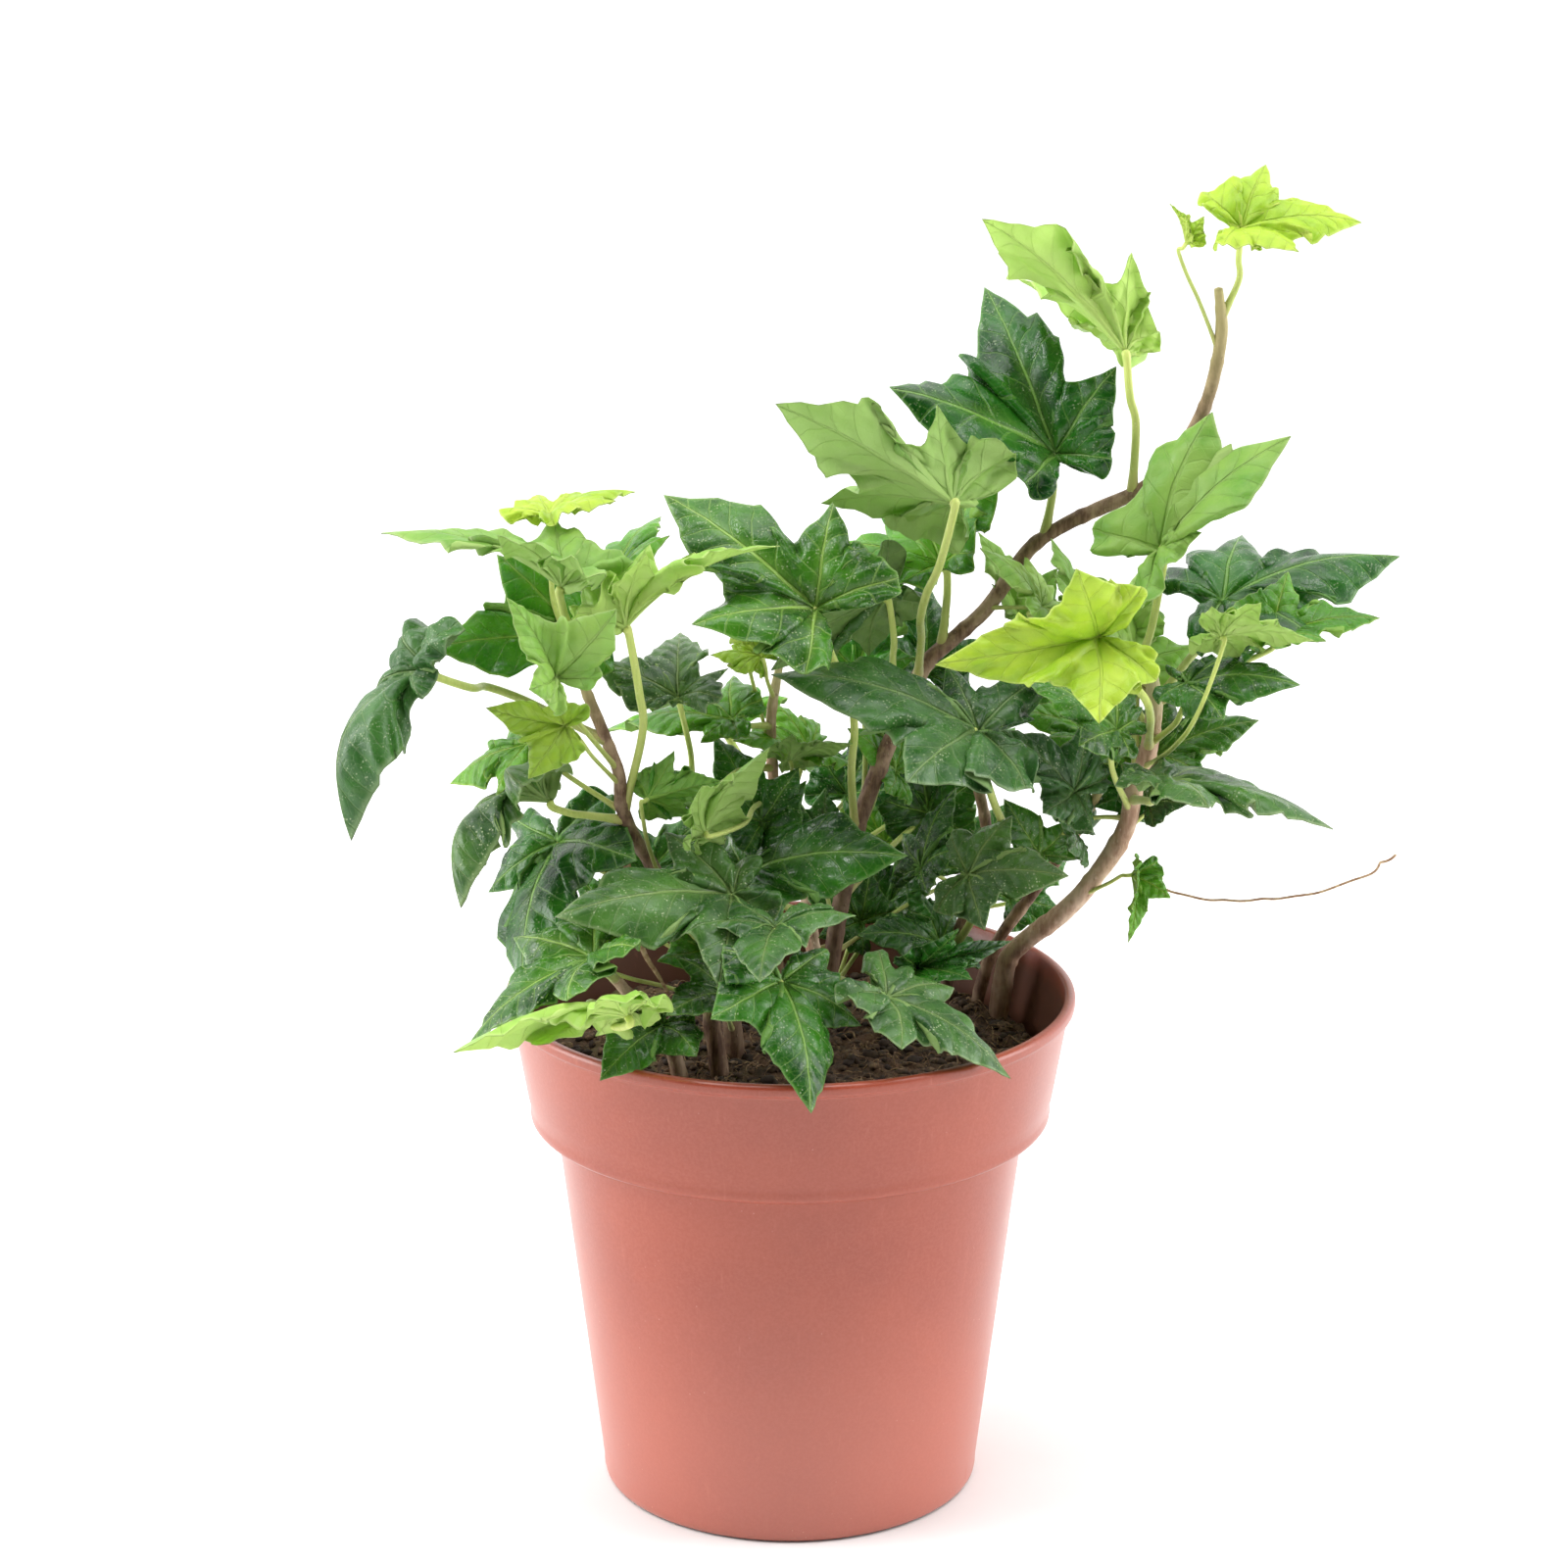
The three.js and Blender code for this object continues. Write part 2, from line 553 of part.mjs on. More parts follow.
      face: [-3, -3, 9], fold: 0, spread: 45, basal: 0.3 },
    { name: "leaf_right_05", age: "dusty", joint: 150, base: [76, -10, 156], tip: [111, -17, 149],
      face: [2, 1, 10], fold: 5, basal: 0.32 },
    { name: "leaf_right_06", age: "fresh", joint: 163, bend: [72, -13, 176], base: [62, -14, 189],
      tip: [29, -21, 185], face: [2, -10, 2], fold: 45, spread: 75 },
    { name: "leaf_right_07", age: "young", joint: 164, base: [71, 18, 174], tip: [74, 36, 190],
      face: [5, -6, 6], fold: 25 },
    { name: "leaf_right_08", age: "old", joint: 148, base: [67, -4, 166], tip: [46, -4, 179],
      face: [6, -5, 7], fold: 15, spread: 62, basal: 0.3 },
  ],
  twig: [
    { name: "leaf_right_09", age: "dusty", joint: 140, base: [59, 6, 150], tip: [43, 2, 165],
      face: [6, -7, 5] },
    { name: "leaf_right_10", age: "grown", joint: 146, base: [67, 22, 155], tip: [48, 36, 161],
      face: [1, -3, 9] },
  ],
  back: [
    { name: "leaf_back_01", age: "dusty", joint: 115, bend: [45, 0, 142], base: [38, -12, 168],
      tip: [-4, -14, 181], face: [3, -4, 9], fold: 10, lobes: [0.74, 0.4] },
    { name: "leaf_back_02", age: "old", joint: 122, base: [28, 4, 134], tip: [35, 10, 150],
      face: [-8, -4, 5], fold: 5 },
    { name: "leaf_back_03", age: "old", joint: 112, base: [26, -16, 119], tip: [46, -8, 122],
      face: [3, -9, 4], fold: 65 },
    { name: "leaf_back_04", age: "dusty", joint: 130, base: [37, -10, 137], tip: [57, -20, 140],
      face: [-4, -6, 7], fold: 5 },
  ],
  rear: [
    { name: "leaf_rear_01", age: "old", joint: 128, base: [10, 52, 140], tip: [20, 78, 122],
      face: [2, 6, 8] },
    { name: "leaf_rear_02", age: "grown", joint: 138, base: [-14, 50, 152], tip: [-42, 66, 146],
      face: [-2, 3, 9] },
    { name: "leaf_rear_03", age: "old", joint: 116, base: [-12, 44, 118], tip: [-34, 62, 102],
      face: [-4, 5, 8] },
  ],
};

for (const [stem, leaves] of Object.entries(LEAVES)) {
  for (const leaf of leaves) addLeaf(STEMS[stem], leaf);
}
addPot();
addSoil(Object.values(STEMS));

export default group;
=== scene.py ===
"""Potted ivy. Every CAD node is replaced by a finer piece: leaves, stems and the trailing root follow
the rings of the node's own mesh, the pot takes its rim and height from the node's box, and the soil is
set inside the pot. Pieces without a node: the small leaves, the hanging root, crumbs and fibres."""
import json
import random
from math import cos, hypot, pi, radians, sin, tan

import bmesh
import bpy
import numpy as np
from numpy.linalg import norm
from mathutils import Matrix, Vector, noise


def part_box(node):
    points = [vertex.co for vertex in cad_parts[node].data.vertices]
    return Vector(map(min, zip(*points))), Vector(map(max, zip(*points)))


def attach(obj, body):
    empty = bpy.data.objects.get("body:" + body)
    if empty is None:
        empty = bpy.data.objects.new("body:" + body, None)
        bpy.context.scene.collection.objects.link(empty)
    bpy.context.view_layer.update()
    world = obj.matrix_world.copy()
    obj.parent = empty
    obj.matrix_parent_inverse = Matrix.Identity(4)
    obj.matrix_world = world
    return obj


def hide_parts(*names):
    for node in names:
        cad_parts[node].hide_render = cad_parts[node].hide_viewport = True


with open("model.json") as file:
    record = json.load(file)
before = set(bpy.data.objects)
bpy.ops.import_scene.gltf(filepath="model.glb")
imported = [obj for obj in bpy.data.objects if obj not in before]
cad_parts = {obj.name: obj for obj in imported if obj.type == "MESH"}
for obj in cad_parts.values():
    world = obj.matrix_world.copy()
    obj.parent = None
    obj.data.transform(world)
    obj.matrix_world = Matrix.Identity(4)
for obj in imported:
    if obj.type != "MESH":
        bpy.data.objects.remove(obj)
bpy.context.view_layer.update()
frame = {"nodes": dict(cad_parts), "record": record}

MM = 0.001
scene = bpy.context.scene
SLOT_OF = {part["node"]: part["material_slot"] for part in frame["record"]["subparts"]}

# ---- shapes of the CAD nodes


def welded(node):
    """The node's mesh with its corners joined again."""
    bm = bmesh.new()
    bm.from_mesh(frame["nodes"][node].data)
    bmesh.ops.remove_doubles(bm, verts=bm.verts, dist=0.02 * MM)
    return bm


def levels_from(start):
    """Rings of vertices, each one edge farther from the start."""
    seen = {start}
    level = [start]
    out = []
    while level:
        out.append(level)
        following = []
        for vert in level:
            for edge in vert.link_edges:
                other = edge.other_vert(vert)
                if other not in seen:
                    seen.add(other)
                    following.append(other)
        level = following
    return out


def ring_line(levels, sides):
    """Centres and radii of the rings of a tube, from its end cap on."""
    centres, radii = [], []
    for level in levels[1:]:
        if len(level) != sides:
            break
        points = np.array([v.co for v in level])
        centre = points.mean(axis=0)
        centres.append(centre)
        radii.append(norm(points - centre, axis=1).mean())
    return np.array(centres), np.array(radii)


def read_stem(node):
    bm = welded(node)
    caps = [v for v in bm.verts if len(v.link_edges) == 8]
    foot = min(caps, key=lambda v: v.co.z)
    line = ring_line(levels_from(foot), 8)
    bm.free()
    return line


OUTLINE = 18
NOTCH = 9


def read_leaf(node):
    """The blade's joint, half-way ring and outline, and the stalk's line from foot to blade."""
    bm = welded(node)
    joint = max(bm.verts, key=lambda v: len(v.link_edges))
    following = {}
    for face in joint.link_faces:
        loop = [v for v in face.verts]
        at = loop.index(joint)
        following[loop[at - 2]] = loop[at - 1]
    start = next(iter(following))
    ring = [start]
    while len(ring) < OUTLINE:
        ring.append(following[ring[-1]])
    near = [{e.other_vert(v) for e in v.link_edges} for v in ring]
    edge = []
    for i in range(OUTLINE):
        shared = near[i] & near[i - 1] - {joint, ring[i], ring[i - 1]}
        edge.append(shared.pop())
    gaps = [(v.co - joint.co).length for v in edge]
    turn = gaps.index(min(gaps)) - NOTCH
    order = [(i + turn) % OUTLINE for i in range(OUTLINE)]
    stalk, radii = ring_line(levels_from(levels_from(joint)[-1][0]), 6)
    form = {
        "joint": np.array(joint.co),
        "ring": np.array([ring[i].co for i in order]),
        "edge": np.array([edge[i].co for i in order]),
        "stalk": stalk,
        "radii": radii,
    }
    bm.free()
    return form


# ---- curves and meshes


def catmull(p0, p1, p2, p3, t):
    bend = (2 * p0 - 5 * p1 + 4 * p2 - p3) * t * t
    return 0.5 * (2 * p1 + (p2 - p0) * t + bend + (3 * p1 - p0 - 3 * p2 + p3) * t * t * t)


def closed_curve(points, corners, samples):
    """A closed curve through the points, from point 0 on, with a sharp turn at each corner."""
    count = len(points)
    marks = corners or [0]
    out = []
    for k, first in enumerate(marks):
        last = marks[(k + 1) % len(marks)]
        span = (last - first) % count or count
        run = [points[(first + i) % count] for i in range(span + 1)]
        before = 2 * run[0] - run[1] if corners else points[first - 1]
        after = 2 * run[-1] - run[-2] if corners else points[(last + 1) % count]
        run = [before, *run, after]
        for i in range(span):
            out += [catmull(*run[i : i + 4], j / samples) for j in range(samples)]
    return np.array(out)


def open_curve(points, samples, values=None):
    """A smooth curve through the points, and the values that go with them."""
    run = [2 * points[0] - points[1], *points, 2 * points[-1] - points[-2]]
    out, carried = [], []
    for i in range(len(points) - 1):
        for j in range(samples):
            t = j / samples
            out.append(catmull(*run[i : i + 4], t))
            if values is not None:
                carried.append(values[i] * (1 - t) + values[i + 1] * t)
    out.append(points[-1])
    if values is not None:
        carried.append(values[-1])
        return np.array(out), np.array(carried)
    return np.array(out)


def unit(v):
    return v / np.maximum(norm(v, axis=-1, keepdims=True), 1e-12)


def tube(path, radii, sides, wobble=None):
    """Points and faces of a closed tube. wobble(i, angle) scales the radius."""
    tangents = unit(np.gradient(path, axis=0))
    side = unit(np.cross(tangents[0], [0.3, 0.9, 0.1]))
    angles = np.arange(sides) * 2 * pi / sides
    points = []
    for i, (centre, along, radius) in enumerate(zip(path, tangents, radii)):
        side = unit(side - along * side.dot(along))
        across = np.cross(along, side)
        for angle in angles:
            r = radius * (wobble(i, angle) if wobble else 1)
            points.append(centre + r * (side * cos(angle) + across * sin(angle)))
    faces = []
    for i in range(len(path) - 1):
        for j in range(sides):
            a, b = i * sides + j, i * sides + (j + 1) % sides
            faces.append((a, b, b + sides, a + sides))
    first, last = len(points), len(points) + 1
    # The ends are closed by low cones.
    points += [path[0] - tangents[0] * radii[0] * 0.5, path[-1] + tangents[-1] * radii[-1] * 0.5]
    top = (len(path) - 1) * sides
    for j in range(sides):
        k = (j + 1) % sides
        faces += [(first, k, j), (last, top + j, top + k)]
    along = np.append(np.repeat(np.linspace(0, 1, len(path)), sides), [0, 1])
    return np.array(points), faces, along


def distance_along(path):
    """How far each point of the path is from its start."""
    return np.cumsum(norm(np.diff(path, axis=0, prepend=path[:1]), axis=1))


def on_ring(radius, turn, z):
    return radius * cos(turn), radius * sin(turn), z


def placed(name, data):
    """A new object in the scene."""
    obj = bpy.data.objects.new(name, data)
    scene.collection.objects.link(obj)
    return obj


class Shape:
    """Collects points, faces and the values at each point, and makes the object."""

    def __init__(self):
        self.points, self.faces, self.mats = [], [], []
        self.values = {}
        self.uv = []
        self.count = 0

    def add(self, points, faces, material=0, uv=None, **values):
        n = len(points)
        self.points.append(np.asarray(points, float))
        self.faces += [tuple(i + self.count for i in face) for face in faces]
        self.mats += [material] * len(faces)
        self.uv.append(np.zeros((n, 2)) if uv is None else np.asarray(uv, float))
        for name in set(values) | set(self.values):
            column = self.values.setdefault(name, [np.zeros(self.count)])
            column.append(np.broadcast_to(np.asarray(values.get(name, 0.0), float), (n,)))
        self.count += n

    def build(self, name, materials, nodes=()):
        mesh = bpy.data.meshes.new(name)
        points = np.concatenate(self.points)
        mesh.from_pydata(points.tolist(), [], self.faces)
        mesh.polygons.foreach_set("material_index", self.mats)
        mesh.polygons.foreach_set("use_smooth", [True] * len(mesh.polygons))
        for key, columns in self.values.items():
            layer = mesh.attributes.new(key, "FLOAT", "POINT")
            layer.data.foreach_set("value", np.concatenate(columns).astype(np.float32))
        uv = np.concatenate(self.uv)
        corners = np.empty(len(mesh.loops), np.int32)
        mesh.loops.foreach_get("vertex_index", corners)
        if uv.any():
            layer = mesh.uv_layers.new(name="LeafMap")
            layer.data.foreach_set("uv", uv[corners].astype(np.float32).ravel())
        for material in materials:
            mesh.materials.append(material)
        mesh.update()
        obj = placed(name, mesh)
        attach(obj, "root")
        if nodes:
            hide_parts(*nodes)


def tube_piece(name, path, radii, sides, material, nodes=(), wobble=None):
    """A piece that is one closed tube."""
    points, faces, along = tube(path, radii, sides, wobble)
    shape = Shape()
    shape.add(points, faces, along=along)
    shape.build(name, [material], nodes)


# ---- material helpers


class Shader:
    """Short ways to add nodes to a new material."""

    def __init__(self, name):
        self.material = bpy.data.materials.new(name)
        self.material.use_nodes = True
        self.tree = self.material.node_tree
        self.tree.nodes.clear()
        self.out = self.tree.nodes.new("ShaderNodeOutputMaterial")

    def put(self, socket, value):
        if isinstance(value, bpy.types.NodeSocket):
            self.tree.links.new(value, socket)
        elif value is not None:
            if socket.type == "RGBA" and len(value) == 3:
                value = (*value, 1.0)
            socket.default_value = value

    def node(self, kind, inputs=None, **settings):
        node = self.tree.nodes.new("ShaderNode" + kind)
        for key, value in settings.items():
            setattr(node, key, value)
        for key, value in (inputs or {}).items():
            self.put(node.inputs[key], value)
        return node

    def math(self, operation, a, b=None):
        return self.node("Math", {0: a, 1: b}, operation=operation).outputs[0]

    def times(self, a, b):
        return self.math("MULTIPLY", a, b)

    def plus(self, a, b):
        return self.math("ADD", a, b)

    def minus(self, a, b):
        return self.math("SUBTRACT", a, b)

    def ramp(self, value, low, high, to_low=0.0, to_high=1.0, smooth=True):
        node = self.node("MapRange", interpolation_type="SMOOTHSTEP" if smooth else "LINEAR")
        keys = ("Value", "From Min", "From Max", "To Min", "To Max")
        for key, number in zip(keys, (value, low, high, to_low, to_high)):
            self.put(node.inputs[key], number)
        return node.outputs[0]

    def mix(self, factor, a, b, blend="MIX"):
        node = self.node("Mix", data_type="RGBA", blend_type=blend)
        self.put(node.inputs[0], factor)
        self.put(node.inputs[6], a)
        self.put(node.inputs[7], b)
        return node.outputs[2]

    def attribute(self, name):
        return self.node("Attribute", attribute_name=name).outputs["Fac"]

    def place(self, scale=(1, 1, 1)):
        where = self.node("TexCoord").outputs["Object"]
        return self.node("Mapping", {"Vector": where, "Scale": scale}).outputs[0]

    def noise(self, vector, scale, detail=2.0, rough=0.5, distortion=0.0):
        inputs = {"Vector": vector, "Scale": scale, "Detail": detail, "Roughness": rough}
        return self.node("TexNoise", {**inputs, "Distortion": distortion}).outputs["Fac"]

    def cells(self, vector, scale, feature="F1"):
        inputs = {"Vector": vector, "Scale": scale}
        return self.node("TexVoronoi", inputs, feature=feature).outputs["Distance"]

    def bump(self, height, strength, distance, normal=None):
        inputs = {"Height": height, "Strength": strength, "Distance": distance, "Normal": normal}
        return self.node("Bump", inputs).outputs[0]

    def surface(self, skin, rough, normal=None, **more):
        """The usual surface; the names of more inputs are written with _ for a space."""
        inputs = {"Base Color": skin, "Roughness": rough, "Normal": normal}
        inputs.update((key.replace("_", " "), value) for key, value in more.items())
        return self.node("BsdfPrincipled", inputs).outputs[0]

    def finish(self, surface):
        self.tree.links.new(surface, self.out.inputs["Surface"])
        return self.material


def colour(red, green, blue):
    """A colour given as it looks on a screen, 0 to 255, as the shader needs it."""
    return tuple(
        c / 12.92 if c <= 0.04045 else ((c + 0.055) / 1.055) ** 2.4
        for c in (red / 255, green / 255, blue / 255)
    )


# ---- leaf material

LATERAL, BASAL = radians(62), radians(122)
SIDE_LOBE, BACK_LOBE = 0.68, 0.46
LOBES = [(0.0, 1.0), (LATERAL, SIDE_LOBE), (-LATERAL, SIDE_LOBE), (BASAL, BACK_LOBE), (-BASAL, BACK_LOBE)]
MAP_SCALE = 0.42
MAIN_VEIN = 0.02
BRANCH_GAP = 0.15
BRANCH_ANGLE = radians(48)
BRANCH_VEIN = 0.008

# For each slot: the colours (0 to 255), then how strongly the main veins, branch veins and specks
# show, the least roughness, and the share of light that passes through.
LOOK_COLOURS = ("base", "deep", "vein", "edge", "under")
LOOK_SHARES = ("main", "branch", "speck", "rough", "glow")
LEAF_LOOKS = {
    "leaf_old": (
        [(56, 118, 26), (16, 58, 18), (150, 190, 92), (120, 160, 84), (104, 146, 62)],
        [0.75, 0.26, 0.8, 0.15, 0.1],
    ),
    "leaf_dusty": (
        [(72, 118, 46), (32, 72, 30), (142, 168, 100), (140, 164, 110), (126, 156, 86)],
        [0.6, 0.2, 1.0, 0.22, 0.12],
    ),
    "leaf_grown": (
        [(104, 170, 40), (58, 124, 28), (168, 202, 84), (160, 194, 92), (138, 180, 70)],
        [0.65, 0.2, 0.3, 0.17, 0.26],
    ),
    "leaf_young": (
        [(176, 210, 104), (134, 184, 72), (186, 212, 120), (196, 216, 140), (190, 217, 126)],
        [0.35, 0.1, 0.05, 0.3, 0.34],
    ),
    "leaf_fresh": (
        [(188, 214, 70), (150, 192, 50), (204, 224, 110), (208, 224, 130), (196, 216, 100)],
        [0.35, 0.12, 0.0, 0.28, 0.36],
    ),
}


def leaf_look(colours, shares):
    look = {key: colour(*value) for key, value in zip(LOOK_COLOURS, colours)}
    look.update(zip(LOOK_SHARES, shares))
    return look


def vein_masks(s):
    """How near a point of the leaf map is to the five main veins and to their branches."""
    flat = s.node("UVMap", uv_map="LeafMap").outputs[0]
    wander = s.node("TexNoise", {"Vector": flat, "Scale": 9.0, "Detail": 1.0}).outputs["Color"]
    wander = s.node("VectorMath", {0: wander, 1: (0.5, 0.5, 0.5)}, operation="SUBTRACT").outputs[0]
    wander = s.node("VectorMath", {0: wander, "Scale": 0.012}, operation="SCALE").outputs[0]
    flat = s.node("VectorMath", {0: flat, 1: wander}, operation="ADD").outputs[0]
    parts = s.node("SeparateXYZ", {0: flat})
    x = s.math("DIVIDE", s.minus(parts.outputs[0], 0.5), MAP_SCALE)
    y = s.math("DIVIDE", s.minus(parts.outputs[1], 0.5), MAP_SCALE)
    nearest, position, width_ratio, hand = None, None, None, None
    for turn, length in LOBES:
        c, d = cos(turn), sin(turn)
        along = s.plus(s.times(x, c), s.times(y, d))
        signed = s.minus(s.times(y, c), s.times(x, d))
        across = s.math("ABSOLUTE", signed)
        behind = s.math("LESS_THAN", along, 0.0)
        across = s.plus(across, behind)
        taper = s.ramp(along, 0.0, length, MAIN_VEIN * (0.5 + 0.5 * length), 0.004, smooth=False)
        ratio = s.math("DIVIDE", across, taper)
        if nearest is None:
            nearest, position, width_ratio, hand = across, along, ratio, signed
            continue
        closer = s.math("LESS_THAN", across, nearest)
        stay = s.minus(1.0, closer)

        def pick(new, old):
            return s.plus(s.times(new, closer), s.times(old, stay))

        position, hand = pick(along, position), pick(signed, hand)
        nearest = s.math("MINIMUM", across, nearest)
        width_ratio = s.math("MINIMUM", ratio, width_ratio)
    main = s.ramp(width_ratio, 0.35, 1.0, 1.0, 0.0)
    halo = s.ramp(width_ratio, 0.5, 5.0, 1.0, 0.0)
    side = s.times(s.math("GREATER_THAN", hand, 0.0), 0.45)
    lean = s.times(nearest, 1 / tan(BRANCH_ANGLE))
    step = s.plus(s.math("DIVIDE", s.minus(position, lean), BRANCH_GAP), side)
    off = s.math("ABSOLUTE", s.minus(s.math("FRACT", step), 0.5))
    gap = s.times(off, BRANCH_GAP * sin(BRANCH_ANGLE))
    thin = s.ramp(nearest, 0.0, 0.3, BRANCH_VEIN, BRANCH_VEIN * 0.35, smooth=False)
    branch = s.ramp(s.math("DIVIDE", gap, thin), 0.3, 1.0, 1.0, 0.0)
    fade = s.ramp(nearest, 0.16, 0.34, 1.0, 0.0)
    branch = s.times(branch, fade)
    quilt = s.ramp(gap, 0.0, BRANCH_GAP * 0.35, 0.0, 1.0)
    return flat, main, halo, branch, quilt


def leaf_material(name, look):
    s = Shader(name)
    flat, main, halo, branch, quilt = vein_masks(s)
    place = s.place()
    share = s.attribute("share")
    tone = s.attribute("tone")
    under = s.attribute("under")
    net = s.ramp(s.cells(flat, 46.0, "DISTANCE_TO_EDGE"), 0.0, 0.06, 1.0, 0.0)
    fine = s.ramp(s.cells(flat, 120.0, "DISTANCE_TO_EDGE"), 0.0, 0.08, 1.0, 0.0)
    cloud = s.noise(place, 70.0, 3.0, 0.6)
    mottle = s.noise(place, 420.0, 3.0, 0.6)
    patch = s.ramp(cloud, 0.3, 0.7)
    skin = s.mix(patch, look["deep"], look["base"])
    skin = s.mix(s.ramp(mottle, 0.35, 0.75, 0.0, 0.35), skin, look["base"])
    skin = s.mix(s.times(halo, 0.16), skin, look["vein"])
    skin = s.mix(s.times(net, 0.1), skin, look["vein"])
    skin = s.mix(s.times(fine, 0.05), skin, look["vein"])
    pale = s.times(main, look["main"])
    pale = s.math("MAXIMUM", pale, s.times(branch, look["branch"]))
    skin = s.mix(pale, skin, look["vein"])
    veins = s.math("MAXIMUM", main, s.times(branch, 0.62))
    # Pale specks, thick in drifts.
    dots = s.ramp(s.cells(place, 1300.0), 0.05, 0.34, 1.0, 0.0)
    drift = s.ramp(s.noise(place, 240.0, 3.0, 0.7), 0.44, 0.62)
    dust = s.times(s.times(dots, drift), look["speck"])
    skin = s.mix(s.times(dust, 0.8), skin, colour(200, 212, 168))
    rim = s.ramp(share, 0.955, 0.995)
    skin = s.mix(s.times(rim, 0.65), skin, look["edge"])
    below = s.mix(s.times(veins, 0.7), look["under"], look["vein"])
    below = s.mix(s.times(net, 0.25), below, look["vein"])
    below = s.mix(s.ramp(mottle, 0.3, 0.7, 0.0, 0.3), below, look["base"])
    skin = s.mix(under, skin, below)
    value = s.ramp(tone, -1.0, 1.0, 0.8, 1.2, smooth=False)
    hue = s.ramp(tone, -1.0, 1.0, 0.515, 0.49, smooth=False)
    skin = s.node("HueSaturation", {"Hue": hue, "Value": value, "Color": skin}).outputs[0]
    rough = s.ramp(s.noise(place, 300.0, 3.0, 0.6), 0.3, 0.7, look["rough"], look["rough"] + 0.16)
    rough = s.plus(rough, s.times(s.math("MAXIMUM", under, dust), 0.22))
    # Veins lie in grooves above and stand out below.
    relief = s.times(s.math("MAXIMUM", main, s.times(branch, 0.4)), -1.0)
    relief = s.plus(relief, s.times(quilt, 0.6))
    flip = s.ramp(under, 0.0, 1.0, 1.0, -1.0, smooth=False)
    relief = s.times(relief, flip)
    grain = s.minus(s.noise(place, 1500.0, 2.0), s.times(net, 0.5))
    normal = s.bump(relief, 0.9, 0.35 * MM)
    normal = s.bump(grain, 0.35, 0.16 * MM, normal)
    body = s.surface(skin, rough, normal, Specular_IOR_Level=0.42)
    shine = s.mix(0.5, skin, s.mix(1.0, skin, (0.8, 1.0, 0.3), "MULTIPLY"))
    through = s.node("BsdfTranslucent", {"Color": shine, "Normal": normal}).outputs[0]
    mixed = s.node("MixShader", {0: look["glow"], 1: body, 2: through}).outputs[0]
    return s.finish(mixed)


# ---- stalk, stem and root materials


def stalk_material():
    s = Shader("stalk")
    place = s.place()
    along = s.attribute("along")
    tone = s.attribute("tone")
    streak = s.noise(s.place((1, 1, 0.12)), 1400.0, 3.0, 0.6)
    skin = s.mix(s.ramp(along, 0.0, 1.0), colour(176, 186, 100), colour(204, 216, 118))
    skin = s.mix(s.ramp(along, 0.12, 0.0, 0.0, 0.6), skin, colour(176, 150, 104))
    skin = s.mix(s.ramp(streak, 0.4, 0.7, 0.0, 0.35), skin, colour(146, 172, 72))
    specks = s.ramp(s.cells(place, 1500.0), 0.0, 0.28, 1.0, 0.0)
    some = s.ramp(s.noise(place, 500.0), 0.45, 0.6)
    skin = s.mix(s.times(s.times(specks, some), 0.5), skin, colour(226, 228, 186))
    value = s.ramp(tone, -1.0, 1.0, 0.82, 1.12, smooth=False)
    skin = s.node("HueSaturation", {"Value": value, "Color": skin}).outputs[0]
    normal = s.bump(s.plus(streak, specks), 0.5, 0.12 * MM)
    rough = s.ramp(streak, 0.3, 0.7, 0.42, 0.6)
    depth = {"Subsurface_Weight": 0.12, "Subsurface_Radius": (0.6 * MM, 1.0 * MM, 0.3 * MM)}
    fuzz = {"Sheen_Weight": 0.25, "Sheen_Roughness": 0.4}
    return s.finish(s.surface(skin, rough, normal, Subsurface_Scale=1.0, **depth, **fuzz))


def bark_material(name, dark, mid, pale, tip):
    """Bark from dark and streaky at the foot to smooth and greenish at the end; the foot's darkness is
    older bark and partly painted shade near the soil.
    """
    s = Shader(name)
    place = s.place()
    along = s.attribute("along")
    streak = s.noise(s.place((1, 1, 0.16)), 900.0, 4.0, 0.65, 0.3)
    blotch = s.noise(place, 160.0, 4.0, 0.6)
    skin = s.mix(s.ramp(streak, 0.35, 0.68), dark, mid)
    skin = s.mix(s.ramp(blotch, 0.42, 0.68, 0.0, 0.75), skin, pale)
    pores = s.ramp(s.cells(s.place((1, 1, 0.55)), 900.0), 0.06, 0.24, 1.0, 0.0)
    some = s.ramp(s.noise(place, 330.0), 0.47, 0.6)
    pores = s.times(pores, some)
    skin = s.mix(s.times(pores, 0.7), skin, pale)
    skin = s.mix(s.ramp(along, 0.82, 1.0, 0.0, 0.85), skin, tip)
    # Darker towards the foot: older bark, and partly painted shade low in the pot near the soil.
    skin = s.mix(s.ramp(along, 0.3, 0.02, 0.0, 0.6), skin, dark)
    height = s.plus(s.times(streak, 0.8), pores)
    normal = s.bump(height, 0.8, 0.35 * MM)
    normal = s.bump(s.noise(place, 2600.0, 3.0), 0.4, 0.1 * MM, normal)
    rough = s.ramp(streak, 0.3, 0.7, 0.78, 0.6)
    return s.finish(s.surface(skin, rough, normal))


def root_material():
    s = Shader("root")
    place = s.place()
    worn = s.noise(place, 600.0, 4.0, 0.65)
    skin = s.mix(s.ramp(worn, 0.35, 0.7), colour(146, 108, 76), colour(206, 178, 140))
    normal = s.bump(worn, 0.6, 0.15 * MM)
    return s.finish(s.surface(skin, 0.75, normal))


LEAF_MATERIALS = {name: leaf_material(name, leaf_look(*row)) for name, row in LEAF_LOOKS.items()}
STALK = stalk_material()
BARK = bark_material(
    "bark", colour(92, 64, 48), colour(136, 106, 82), colour(176, 150, 122), colour(178, 168, 112)
)
SHOOT = bark_material(
    "shoot", colour(158, 122, 98), colour(196, 162, 136), colour(220, 196, 170), colour(184, 180, 128)
)
ROOT = root_material()

# ---- leaves

